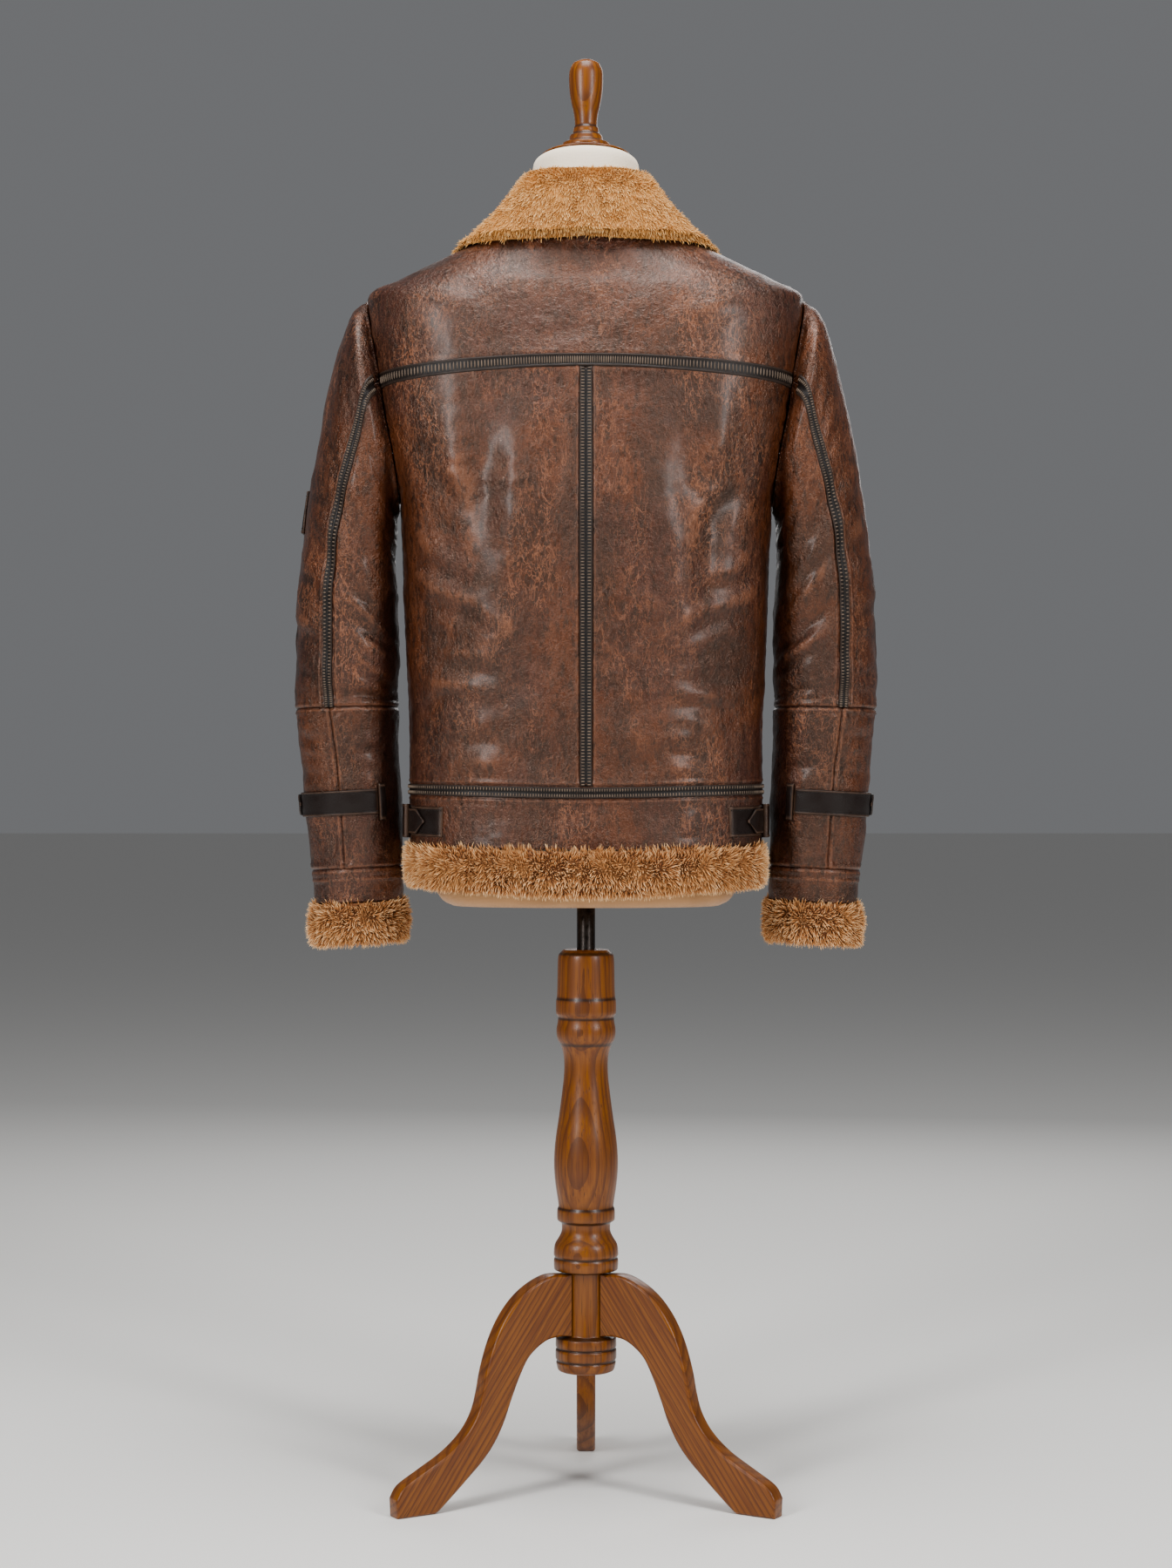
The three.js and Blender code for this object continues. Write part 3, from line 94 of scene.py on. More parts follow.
# Stand
POLE_RADIUS = 9.4
POLE_BORE_RADIUS = 9.7
POLE_BOTTOM = 330.0
POLE_TOP = 622.0
FORM_BOTTOM = 603.0
FORM_BASE_TOP = 632.0
HUB_RADIUS = 22.4
LEG_WALL = 20.0
LEG_TURNS = (0, 120, -120)


def smooth(value: Array, low: float, high: float) -> Array:
    """Rises smoothly from 0 at low to 1 at high."""
    t = np.clip((np.asarray(value, float) - low) / (high - low), 0, 1)
    return t * t * (3 - 2 * t)


def mix(start: Array, end: Array, share: Array) -> Array:
    """The value that lies a share of the way from start to end."""
    return start + (end - start) * share


def bump(value: Array, width: float) -> Array:
    """A bell of height 1 and half width `width` about 0."""
    return np.exp(-((value / width) ** 2))


def weights(t: Array) -> tuple[Array, Array, Array, Array]:
    """How much two ends and the slopes there count at a share t between them."""
    return 2 * t**3 - 3 * t**2 + 1, t**3 - 2 * t**2 + t, 3 * t**2 - 2 * t**3, t**3 - t**2


def hermite(a: Array, b: Array, c: Array, d: Array, t: Array) -> Array:
    """Points a share t of the way from b to c, on smooth lines through all four."""
    from_b, leave, to_c, arrive = weights(t)
    return from_b * b + leave * ((c - a) / 2) + to_c * c + arrive * ((d - b) / 2)


def even(count: int) -> Array:
    """Shares at the middles of that many equal steps."""
    return (np.arange(count) + 0.5) / count


def unit(vectors: Array) -> Array:
    """Vectors scaled to length 1."""
    return vectors / np.maximum(np.linalg.norm(vectors, axis=-1, keepdims=True), 1e-9)


def to_frame(points: Array) -> Array:
    """Points about the column's axis, in mm, as metres in the model's frame."""
    return (np.asarray(points, float) + (0, FRAME_Y, 0)) * MM


def lattice(x: Array, y: Array, seed: int) -> Array:
    """Smooth noise from -1 to 1 with cells one unit wide; seed picks the pattern."""
    def corner(i: Array, j: Array) -> Array:
        value = np.sin(i * 127.1 + j * 311.7 + seed * 74.7) * 43758.5453
        return (value - np.floor(value)) * 2 - 1

    i, j = np.floor(x), np.floor(y)
    u, v = smooth(x - i, 0, 1), smooth(y - j, 0, 1)
    lower = mix(corner(i, j), corner(i + 1, j), u)
    upper = mix(corner(i, j + 1), corner(i + 1, j + 1), u)
    return mix(lower, upper, v)


class Table:
    """Rows with named columns, read smoothly between the rows and without overshoot."""

    def __init__(self, columns: str, *rows: Sequence[float]) -> None:
        """Keeps the rows under their columns' names; the first column is the one read along."""
        data = np.array(rows, float)
        self.at = data[:, 0]
        self.columns = dict(zip(columns.split(), data.T))

    def read(self, column: str, at: Array) -> Array:
        """A column's values at values of the first, on straight lines beyond the table's ends."""
        x, y = self.at, self.columns[column]
        rise = np.diff(y) / np.diff(x)
        slope = np.concatenate([rise[:1], np.zeros(len(y) - 2), rise[-1:]])
        product = rise[:-1] * rise[1:]
        same = product > 0
        slope[1:-1][same] = 2 * product[same] / (rise[:-1] + rise[1:])[same]
        at = np.asarray(at, float)
        i = np.clip(np.searchsorted(x, at, side="left") - 1, 0, len(x) - 2)
        span = x[i + 1] - x[i]
        t = (at - x[i]) / span
        s = np.clip(t, 0, 1)
        low, leave, high, arrive = weights(s)
        inside = (low * y[i] + leave * slope[i] * span + high * y[i + 1]
                  + arrive * slope[i + 1] * span)
        return inside + np.where(t < 0, slope[i], slope[i + 1]) * span * (t - s)


# The coat's outside, ring by ring: level at the centre back, heights at the side and the centre
# front, half the width, depths back and front of the axis, and 2 for an ellipse or more if squarer
BODY_RINGS = Table(
    "level side face half back front square",
    (590, 594, 592, 178, 127, 141, 2.5),
    (662, 666, 664, 180, 127, 142, 2.5),
    (718, 722, 720, 180, 125, 142, 2.5),
    (790, 793, 791, 181, 126, 146, 2.55),
    (880, 882, 880, 185, 131, 151, 2.6),
    (960, 962, 960, 188, 136, 152, 2.7),
    (1010, 1014, 1010, 190, 138, 150, 2.8),
    (1050, 1060, 1051, 199, 137, 147, 2.95),
    (1090, 1106, 1092, 208, 134, 142, 3),
    (1140, 1166, 1145, 216, 127, 131, 3),
    (1185, 1222, 1190, 222, 117, 118, 2.9),
    (1215, 1241, 1212, 192, 108, 103, 2.7),
    (1245, 1261, 1230, 152, 97, 90, 2.5),
    (1275, 1281, 1244, 113, 86, 80, 2.3),
    (1300, 1303, 1256, 86, 76, 72, 2.2),
)

# The right sleeve's outside below the armhole: the outermost and innermost point of each ring,
# half its depth, how far its middle lies in front of the axis, and the turn of the back seam
SLEEVE_RINGS = Table(
    "step outX outZ inX inZ depth ahead seam",
    (1, 239, 1209, 194.5, 1000, 77, 0, 82),
    (2, 253, 1172, 195.5, 982, 76, 0, 83),
    (3, 265, 1125, 195.5, 963, 74, 1, 80),
    (4, 276, 1070, 195, 940, 71, 2, 74.5),
    (5, 287, 1010, 194, 911, 68, 4, 71),
    (6, 295, 950, 193, 881, 65, 7, 71),
    (7, 299, 892, 192.5, 851, 63, 10, 72.5),
    (8, 300, 840, 194, 823, 61, 13, 73.5),
    (9, 299, 804, 194.5, 806, 59, 15, 75),
    (10, 296, 770, 193.5, 774, 58, 18, 76.5),
    (11, 293, 732, 192, 737, 56, 21, 78),
    (12, 290, 692, 190.5, 697, 53, 24, 79),
    (13, 284, 638, 190.5, 643, 49, 28, 78),
    (14, 281.5, 604, 189.5, 609, 47, 30, 78),
)
ELBOW_STEP = 9
CUFF_STEP = 13
MOUTH_STEP = 14
ELBOW_GAP = 0.006
INNER_SEAM_TURN = 252
SEAM_SWING = -3
SLEEVE_SQUARE = 2.2

# The body's largest folds: turn, level, spread in turn and level, lean, and depth in or out
BODY_FOLDS = (
    (-41, 1010, 7, 92, 4, -6), (-29, 990, 8, 80, 3, 4),
    (42, 1000, 7, 96, -5, -6.5), (30, 975, 8, 78, -3, 4),
    (-56, 872, 10, 24, 0, -4), (57, 846, 10, 22, 0, -4),
    (-18, 800, 16, 20, 0, 3), (20, 775, 15, 18, 0, 3),
    (138, 980, 8, 90, 4, -5), (-139, 1000, 8, 84, -4, -5),
    (125, 860, 12, 24, 0, -4), (-124, 835, 12, 22, 0, -4),
)

# Each sleeve's largest folds: turn, step, spread in turn and step, depth
SLEEVE_FOLDS = {
    -1: (
        (95, 4.4, 48, 0.4, -4), (60, 5.5, 55, 0.4, -4.5), (105, 6.5, 45, 0.42, -4),
        (40, 7.3, 60, 0.4, -3.5), (100, 8.5, 50, 0.4, -3), (95, 10.5, 55, 0.42, -3),
        (280, 6, 55, 0.4, -4), (275, 8, 50, 0.45, -4),
    ),
    1: (
        (90, 4.2, 48, 0.4, -4), (65, 5.3, 55, 0.4, -4), (110, 6.3, 45, 0.42, -4.5),
        (45, 7.4, 58, 0.4, -3.5), (95, 8.4, 50, 0.4, -3), (90, 10.7, 55, 0.42, -3),
        (278, 5.8, 55, 0.4, -4), (272, 7.8, 50, 0.45, -4),
    ),
}

# The collar, for one side: the fold's inner edge, the level where the fall ends, its fur there and
# how far the fall rounds out
COLLAR_ROWS = Table(
    "turn topRadius topZ edge fur swell",
    (0, 66, 1349, 1274, 19, 2.5),
    (45, 64, 1351, 1267, 17, 1),
    (90, 58.5, 1351, 1260, 8, -2),
    (135, 62, 1336, 1243, 18, 1.5),
    (180, 64, 1308, 1221, 20, 2.5),
)
COLLAR_OPEN_TURN = 172.0
COLLAR_FOLD_ROUND = 7.0


class Body:
    """The coat's body as a surface: turn 0 is the centre back, 90 the right side, 180 the front."""

    @staticmethod
    def point(turn: Array, level: Array) -> Array:
        """Points of the plain surface."""
        turn, level = np.broadcast_arrays(np.asarray(turn, float), np.asarray(level, float))
        across, ahead = np.sin(np.radians(turn)), -np.cos(np.radians(turn))
        depth = np.where(ahead < 0, BODY_RINGS.read("back", level), BODY_RINGS.read("front", level))
        square = BODY_RINGS.read("square", level)
        half = BODY_RINGS.read("half", level)
        fullness = (np.abs(across) / half) ** square + (np.abs(ahead) / depth) ** square
        reach = fullness ** (-1 / square)
        end = np.where(ahead < 0, level, BODY_RINGS.read("face", level))
        height = mix(BODY_RINGS.read("side", level), end, ahead * ahead)
        return np.stack([reach * across, reach * ahead, height], -1)

    @classmethod
    def normal(cls, turn: Array, level: Array) -> Array:
        """Directions straight out of the surface."""
        along = cls.point(np.add(turn, 1), level) - cls.point(np.subtract(turn, 1), level)
        up = cls.point(turn, np.add(level, 2)) - cls.point(turn, np.subtract(level, 2))
        return unit(np.cross(along, up))

    @staticmethod
    def fold(turn: Array, level: Array) -> Array:
        """How far the largest folds stand in or out."""
        total = np.zeros(np.broadcast(turn, level).shape)
        for fold_turn, fold_level, turn_reach, level_reach, lean, depth in BODY_FOLDS:
            rise = (level - fold_level) / level_reach
            swing = (turn - fold_turn - lean * rise) / turn_reach
            total = total + depth * np.exp(-(rise**2) - swing**2)
        return total

    @classmethod
    def coat(cls, turn: Array, level: Array, out: Array = 0.0) -> Array:
        """Points moved out of the surface by the folds and by out."""
        shift = cls.fold(turn, level) + out
        return cls.point(turn, level) + cls.normal(turn, level) * shift[..., None]

    @staticmethod
    def side_middle(level: Array) -> Array:
        """Turn of the armhole's middle, which leans forward towards its top."""
        return 90 + ARMHOLE_LEAN * smooth(level, LEAN_BOTTOM, LEAN_TOP)

    @classmethod
    def side_turn(cls, level: Array, direction: int) -> Array:
        """Turn of a panel's side edge, behind (1) or ahead (-1) of the side."""
        rise = (np.asarray(level, float) - ARMHOLE_MIDDLE) / ARMHOLE_HALF_HEIGHT
        half_width = ARMHOLE_HALF_TURN * np.sqrt(np.maximum(1 - rise**2, 0))
        return cls.side_middle(level) - direction * half_width

    @staticmethod
    def yoke_seam(turn: Array) -> Array:
        """Level of the yoke's seam."""
        return YOKE_LEVEL - YOKE_DIP * np.sin(np.radians(turn)) ** 2


@dataclass
class Arm:
    """A sleeve as a surface: turn 0 is the outside of the arm, 90 its back, 180 the inside.

    Its side is 1 for the wearer's right and -1 for the left.
    """

    side: int

    def ring(self, index: int, turn: Array) -> Array:
        """Points of one ring; ring 0 is the armhole itself."""
        turn = np.asarray(turn, float)
        if index <= 0:
            return self.armhole(turn, ARMHOLE_SEAM_LAP, ARMHOLE_LIFT)
        row = {name: column[min(index, MOUTH_STEP) - 1] for name, column in SLEEVE_RINGS.columns.items()}
        across, behind = np.cos(np.radians(turn)), np.sin(np.radians(turn))
        fullness = np.abs(across) ** SLEEVE_SQUARE + np.abs(behind) ** SLEEVE_SQUARE
        fullness = fullness ** (-1 / SLEEVE_SQUARE)
        share = (across * fullness + 1) / 2
        return np.stack([
            self.side * mix(row["inX"], row["outX"], share),
            row["ahead"] - row["depth"] * behind * fullness,
            mix(row["inZ"], row["outZ"], share),
        ], -1)

    def armhole(self, turn: Array, lap: float, out: float) -> Array:
        """Points on the armhole's curve, widened by lap and moved out."""
        size = 1 + lap / ARMHOLE_HALF_HEIGHT
        level = ARMHOLE_MIDDLE + ARMHOLE_HALF_HEIGHT * size * np.cos(np.radians(turn))
        offset = ARMHOLE_HALF_TURN * size * np.sin(np.radians(turn))
        body_turn = self.side * (Body.side_middle(level) - offset)
        return Body.point(body_turn, level) + Body.normal(body_turn, level) * out

    def plain(self, turn: Array, step: Array) -> Array:
        """Points of the plain surface, smooth through the rings."""
        turn, step = np.broadcast_arrays(np.asarray(turn, float), np.asarray(step, float))
        start = np.clip(np.floor(step), 0, MOUTH_STEP - 1).astype(int)
        result = np.zeros(turn.shape + (3,))
        for i in np.unique(start):
            here = start == i
            t = (step[here] - i)[:, None]
            a, b, c, d = (self.ring(max(0, i + k), turn[here]) for k in (-1, 0, 1, 2))
            result[here] = hermite(a, b, c, d, t)
        return result

    def normal(self, turn: Array, step: Array) -> Array:
        """Directions straight out of the sleeve."""
        middle = np.clip(step, 0.25, MOUTH_STEP - 0.01)
        along = self.plain(np.add(turn, 2), middle) - self.plain(np.subtract(turn, 2), middle)
        down = self.plain(turn, np.add(middle, 0.1)) - self.plain(turn, np.subtract(middle, 0.1))
        return unit(np.cross(along, down)) * self.side

    def fold(self, turn: Array, step: Array) -> Array:
        """How far the largest folds stand in or out."""
        turn = np.mod(turn, 360)
        total = np.zeros(np.broadcast(turn, step).shape)
        for fold_turn, fold_step, turn_reach, step_reach, depth in SLEEVE_FOLDS[self.side]:
            swing, along = (turn - fold_turn) / turn_reach, (step - fold_step) / step_reach
            total = total + depth * np.exp(-(swing**2) - along**2)
        return total

    def cloth(self, turn: Array, step: Array, out: Array = 0.0) -> Array:
        """Points moved out of the surface by the folds and by out."""
        shift = self.fold(turn, step) + out
        return self.plain(turn, step) + self.normal(turn, step) * shift[..., None]

    def inside(self, turn: Array, step: Array) -> Array:
        """The wall's inner face, which starts on the armhole's edge."""
        inner = self.cloth(turn, step, -SLEEVE_WALL)
        first = self.cloth(turn, np.ones_like(turn), -SLEEVE_WALL)
        edge = self.armhole(turn, 0, ARMHOLE_LIFT)
        share = np.clip(step, 0, 1)[..., None]
        return np.where(step[..., None] < 1, mix(edge, first, share), inner)

    @staticmethod
    def back_seam(step: Array) -> Array:
        """Turn of the back seam, which leaves the armhole where the yoke's seam meets it."""
        swing = SEAM_SWING * np.maximum(0, 1 - np.asarray(step) / 2) ** 2
        return SLEEVE_RINGS.read("seam", np.maximum(step, 1)) + swing


# Mesh making


def linked(name: str, data: bpy.types.ID) -> Piece:
    """Makes an object and links it to the scene."""
    piece = bpy.data.objects.new(name, data)
    bpy.context.scene.collection.objects.link(piece)
    return piece


def mesh_object(name: str, points: Array, faces: Sequence[Sequence[int]]) -> Piece:
    """Makes a smooth mesh from points about the column's axis and rows of point numbers."""
    mesh = bpy.data.meshes.new(name)
    mesh.from_pydata(to_frame(points).tolist(), [], [tuple(face) for face in faces])
    mesh.validate()
    mesh.update()
    mesh.shade_smooth()
    return linked(name, mesh)


def closed(name: str, points: Array, faces: Array) -> Piece:
    """A closed body whose faces are turned outwards if its volume comes out negative."""
    a, b, c, d = points[faces.T]
    volume = (a * (np.cross(b, c) + np.cross(c, d))).sum()
    return mesh_object(name, points, faces if volume > 0 else faces[:, ::-1])


def grid_faces(rows: int, columns: int) -> Array:
    """Quads of a grid of points, row by row."""
    j, i = np.meshgrid(np.arange(rows - 1), np.arange(columns - 1), indexing="ij")
    corner = j * columns + i
    quads = np.stack([corner, corner + 1, corner + columns + 1, corner + columns], -1)
    return quads.reshape(-1, 4)


def slab(name: str, outer: Array, inner: Array) -> Piece:
    """A wall between two grids of points, closed along its four edges."""
    rows, columns = outer.shape[:2]
    layer = rows * columns
    points = np.concatenate([outer.reshape(-1, 3), inner.reshape(-1, 3)])
    rim = np.concatenate([
        np.arange(columns),
        np.arange(1, rows) * columns + columns - 1,
        (rows - 1) * columns + np.arange(columns - 2, -1, -1),
        np.arange(rows - 2, 0, -1) * columns,
    ])
    after = np.roll(rim, -1)
    wall = np.stack([after, rim, rim + layer, after + layer], -1)
    face = grid_faces(rows, columns)
    return closed(name, points, np.concatenate([face, face[:, ::-1] + layer, wall]))


def ring_faces(rings: int, size: int, joined: bool) -> Array:
    """Quads between rings of points; joined also closes the last ring to the first."""
    i, k = np.meshgrid(np.arange(rings if joined else rings - 1), np.arange(size), indexing="ij")
    following, after = (i + 1) % rings, (k + 1) % size
    quads = [i * size + k, following * size + k, following * size + after, i * size + after]
    return np.stack(quads, -1).reshape(-1, 4)


def roll(name: str, rings: Array) -> Piece:
    """A closed tube whose sections are joined end to start."""
    return closed(name, rings.reshape(-1, 3), ring_faces(rings.shape[0], rings.shape[1], True))


def loft(name: str, rings: Array) -> Piece:
    """A body lofted through closed sections and closed at both ends by fans."""
    count, size = rings.shape[:2]
    middles = np.stack([rings[0].mean(0), rings[-1].mean(0)])
    points = np.concatenate([rings.reshape(-1, 3), middles])
    sides = ring_faces(count, size, False)
    k = np.arange(size)
    after = (k + 1) % size
    low = np.stack([np.full(size, count * size), k, after, after], -1)
    last = (count - 1) * size
    high = np.stack([np.full(size, count * size + 1), last + after, last + k, last + k], -1)
    faces = np.concatenate([sides, low, high])
    return closed(name, points, faces)


def attribute(piece: Piece, name: str, values: Array) -> None:
    """Stores a value or a vector at each point of a piece."""
    values = np.asarray(values, np.float32)
    vector = values.ndim == 2
    kind = "FLOAT_VECTOR" if vector else "FLOAT"
    layer = piece.data.attributes.new(name, kind, "POINT")
    layer.data.foreach_set("vector" if vector else "value", values.ravel())


def outside(piece: Piece, name: str, values: Array) -> None:
    """Stores values at a slab's outer points and 0 at its inner ones."""
    attribute(piece, name, np.concatenate([values.ravel(), np.zeros(values.size)]))


# Finishes


def colour(code: str) -> tuple[float, float, float, float]:
    """A screen colour such as "5a3326" as the linear colour that shaders take."""
    parts = [int(code[i:i + 2], 16) / 255 for i in (0, 2, 4)]
    linear = [p / 12.92 if p <= 0.04045 else ((p + 0.055) / 1.055) ** 2.4 for p in parts]
    return (*linear, 1.0)


class Graph:
    """Adds nodes to a shader or geometry tree and joins them."""

    def __init__(self, tree: bpy.types.NodeTree) -> None:
        """Works on an empty tree."""
        self.tree = tree

    def add(self, kind: str, inputs: dict | None = None, **settings) -> bpy.types.Node:
        """Adds one node.

        Args:
            kind: the node's type.
            inputs: a value or another node's socket for each input, by name or number.
            settings: the node's own options.

        Returns:
            The node.
        """
        node = self.tree.nodes.new(kind)
        for name, value in settings.items():
            setattr(node, name, value)
        for key, value in (inputs or {}).items():
            if isinstance(value, Socket):
                self.tree.links.new(value, node.inputs[key])
            else:
                node.inputs[key].default_value = value
        return node

    def place(self, scale: Sequence[float] = (1, 1, 1), turn: Sequence[float] = (0, 0, 0),
              source: str = "") -> Socket:
        """Object coordinates, or the vector attribute `source`, scaled and turned."""
        if source:
            start = self.add("ShaderNodeAttribute", attribute_name=source).outputs["Vector"]
        else:
            start = self.add("ShaderNodeTexCoord").outputs["Object"]
        inputs = {"Vector": start, "Scale": scale, "Rotation": [math.radians(a) for a in turn]}
        return self.add("ShaderNodeMapping", inputs).outputs[0]

    def noise(self, vector: Socket, scale: float, detail: float = 3,
              rough: float = 0.5, warp: float = 0) -> Socket:
        """Cloudy noise from 0 to 1."""
        inputs = {"Vector": vector, "Scale": scale, "Detail": detail, "Roughness": rough}
        return self.add("ShaderNodeTexNoise", {**inputs, "Distortion": warp}).outputs[0]

    def cells(self, vector: Socket, scale: float) -> Socket:
        """Distance inside cells, as in the grain of hide."""
        return self.add("ShaderNodeTexVoronoi", {"Vector": vector, "Scale": scale}).outputs["Distance"]

    def sum(self, kind: str, *values: object) -> Socket:
        """A step of arithmetic on up to three values."""
        return self.add("ShaderNodeMath", dict(enumerate(values)), operation=kind).outputs[0]

    def vector(self, kind: str, *values: object) -> Socket:
        """A step of arithmetic on up to three vectors."""
        return self.add("ShaderNodeVectorMath", dict(enumerate(values)), operation=kind).outputs[0]

    def stored(self, name: str, kind: str) -> Socket:
        """A value or vector that the mesh of a Geometry Nodes tree stores."""
        return self.add("GeometryNodeInputNamedAttribute", {"Name": name}, data_type=kind).outputs[0]

    def chance(self, seed: Socket, low: float, high: float) -> Socket:
        """A random value for each tuft."""
        inputs = {2: low, 3: high, "Seed": seed}
        return self.add("FunctionNodeRandomValue", inputs, data_type="FLOAT").outputs[1]

    def stretch(self, value: object, low: float, high: float, start: float = 0,
                end: float = 1) -> Socket:
        """Maps low..high smoothly onto start..end."""
        inputs = {"Value": value, "From Min": low, "From Max": high, "To Min": start, "To Max": end}
        return self.add("ShaderNodeMapRange", inputs, interpolation_type="SMOOTHSTEP").outputs[0]

    def tint(self, share: object, under: object, over: str) -> Socket:
        """Lays one colour over another by a share."""
        low = under if isinstance(under, Socket) else colour(under)
        inputs = {"Factor": share, 6: low, 7: colour(over)}
        return self.add("ShaderNodeMix", inputs, data_type="RGBA").outputs[2]

    def fact(self, name: str) -> Socket:
        """A value stored at each point of the piece."""
        return self.add("ShaderNodeAttribute", attribute_name=name).outputs["Fac"]

    def relief(self, height: object, strength: float, depth: float) -> Socket:
        """A raised surface; depth is in metres."""
        inputs = {"Height": height, "Strength": strength, "Distance": depth}
        return self.add("ShaderNodeBump", inputs).outputs[0]


def finish(name: str, paint: Callable[[Graph], dict]) -> Material:
    """Makes a material; paint returns what goes into its shader, by the sockets' names."""
    material = bpy.data.materials.new(name)
    material.use_nodes = True
    material.node_tree.nodes.clear()
    graph = Graph(material.node_tree)
    shader = graph.add("ShaderNodeBsdfPrincipled", paint(graph))
    graph.add("ShaderNodeOutputMaterial", {"Surface": shader.outputs[0]})
    return material


@dataclass(frozen=True)
class Finish:
    """A finish with a name; each kind below paints its own."""

    name: str

    def make(self) -> Material:
        """The material."""
        return finish(self.name, self.paint)


@dataclass(frozen=True)
class WornLeather(Finish):
    """Aniline leather of the shell: two browns, paler from rubbing and a painted highlight on ridges and
    seam lips, and darkened by painted shade in the troughs of creases.
    """

    body: str = "341810"
    deep: str = "0b0301"
    warm: str = "472009"
    # Pale tan of the rubbed lines, also laid on ridges and seam lips as rubbing and a painted highlight
    rubbed: str = "8a563a"
    # Painted shade for the troughs of creases
    trough_shade: str = "0d0402"
    grain: float = 560.0

    def paint(self, g: Graph) -> dict:
        """Colour, gloss and grain."""
        flat = g.place()
        tall = g.place(scale=(1, 1, 0.4))
        clouds = g.stretch(g.noise(flat, 8, 3, 0.5), 0.42, 0.62)
        blots = g.stretch(g.noise(tall, 22, 6, 0.66, 0.5), 0.42, 0.62)
        streaks = g.stretch(g.noise(g.place(scale=(1, 1, 0.42)), 175, 4, 0.66, 0.3), 0.49, 0.63)
        specks = g.stretch(g.noise(flat, 640, 3, 0.65), 0.46, 0.62)
        base = g.tint(clouds, self.warm, self.body)
        for layer, share in ((blots, 0.74), (streaks, 0.8), (specks, 0.5)):
            base = g.tint(g.sum("MULTIPLY", layer, share), base, self.deep)
        lines = self.lines(g)
        rubs = g.stretch(g.noise(tall, 17, 4, 0.6), 0.44, 0.66, 0.12, 0.6)
        base = g.tint(g.sum("MULTIPLY", lines, rubs), base, self.rubbed)
        # Ridges and seam lips made paler, partly rubbing and partly a painted highlight
        wear_and_highlight = g.sum("SUBTRACT", g.fact("wear"), g.sum("MULTIPLY", streaks, 0.35))
        base = g.tint(g.stretch(wear_and_highlight, 0.1, 1.1, 0, 0.6), base, self.rubbed)
        # Painted shade: the troughs of creases darkened by the stored shade share
        base = g.tint(g.stretch(g.fact("shade"), 0.1, 1, 0, 0.85), base, self.trough_shade)
        height = g.sum("MULTIPLY", g.cells(flat, self.grain), 0.34)
        wrinkles = g.noise(tall, 44, 5, 0.6, 0.1)
        fine = g.noise(flat, 210, 4, 0.68, 0.4)
        for field, share in ((wrinkles, 2.6), (fine, 1.9)):
            height = g.sum("ADD", height, g.sum("MULTIPLY", field, share))
        rough = g.stretch(g.noise(flat, 70, 4, 0.65), 0.3, 0.7, 0.28, 0.44)
        return {
            "Base Color": base, "Roughness": rough, "Specular IOR Level": 0.56,
            "Specular Tint": colour("ffd6c0"), "Coat Weight": 0.12, "Coat Roughness": 0.22,
            "Normal": g.relief(height, 0.75, 0.0011),
        }

    @staticmethod
    def lines(g: Graph) -> Socket:
        """Thin crooked lines, as waxed hide shows where it has been bent."""
        total = None
        rows = ((30, (0, 25, 10), 0.01), (55, (0, -35, 60), 0.016), (110, (20, 10, 0), 0.026))
        for scale, turn, width in rows:
            field = g.noise(g.place(scale=(1.4, 1.4, 0.55), turn=turn), scale, 3, 0.6, 0.5)
            line = g.stretch(g.sum("ABSOLUTE", g.sum("SUBTRACT", field, 0.5)), 0, width, 1, 0)
            total = line if total is None else g.sum("MAXIMUM", total, line)
        return total


@dataclass(frozen=True)
class Fur(Finish):
    """Dense sheared wool, dark at the roots and pale at the tips."""

    root: str
    middle: str
    tip: str
    cool: str

    def paint(self, g: Graph) -> dict:
        """Colour by height in the pile."""
        height = g.sum("ADD", g.fact("tip"), g.sum("MULTIPLY", g.fact("shade"), 0.5))
        base = g.tint(g.stretch(g.fact("tip"), 0, 0.55), self.root, self.middle)
        base = g.tint(g.stretch(height, 0.45, 1.2), base, self.tip)
        clouds = g.stretch(g.noise(g.place(), 26, 3), 0.42, 0.62, 0, 0.45)
        base = g.tint(clouds, base, self.cool)
        return {
            "Base Color": base, "Roughness": 0.7, "Specular IOR Level": 0.25,
            "Sheen Weight": 0.3, "Sheen Roughness": 0.5, "Sheen Tint": colour("f2cf9c"),
        }


@dataclass(frozen=True)
class DarkTrim(Finish):
    """Dark leather of the tapes and straps, paler where its edges are rubbed."""

    body: str
    edge: str
    gloss: float
    grain: float = 900.0

    def paint(self, g: Graph) -> dict:
        """Colour, gloss and grain."""
        flat = g.place()
        clouds = g.stretch(g.noise(flat, 60, 4, 0.6), 0.35, 0.7, 0, 0.55)
        base = g.tint(clouds, self.body, "17110e")
        wear = g.sum("MULTIPLY", g.fact("wear"), g.stretch(g.noise(flat, 120, 3), 0.3, 0.6, 0.5, 1))
        base = g.tint(wear, base, self.edge)
        height = g.sum("ADD", g.cells(flat, self.grain), g.noise(flat, 300, 3))
        rough = g.stretch(g.noise(flat, 90, 2), 0.3, 0.7, self.gloss, self.gloss + 0.14)
        return {
            "Base Color": base, "Roughness": rough, "Specular IOR Level": 0.22,
            "Normal": g.relief(height, 0.4, 0.0004),
        }


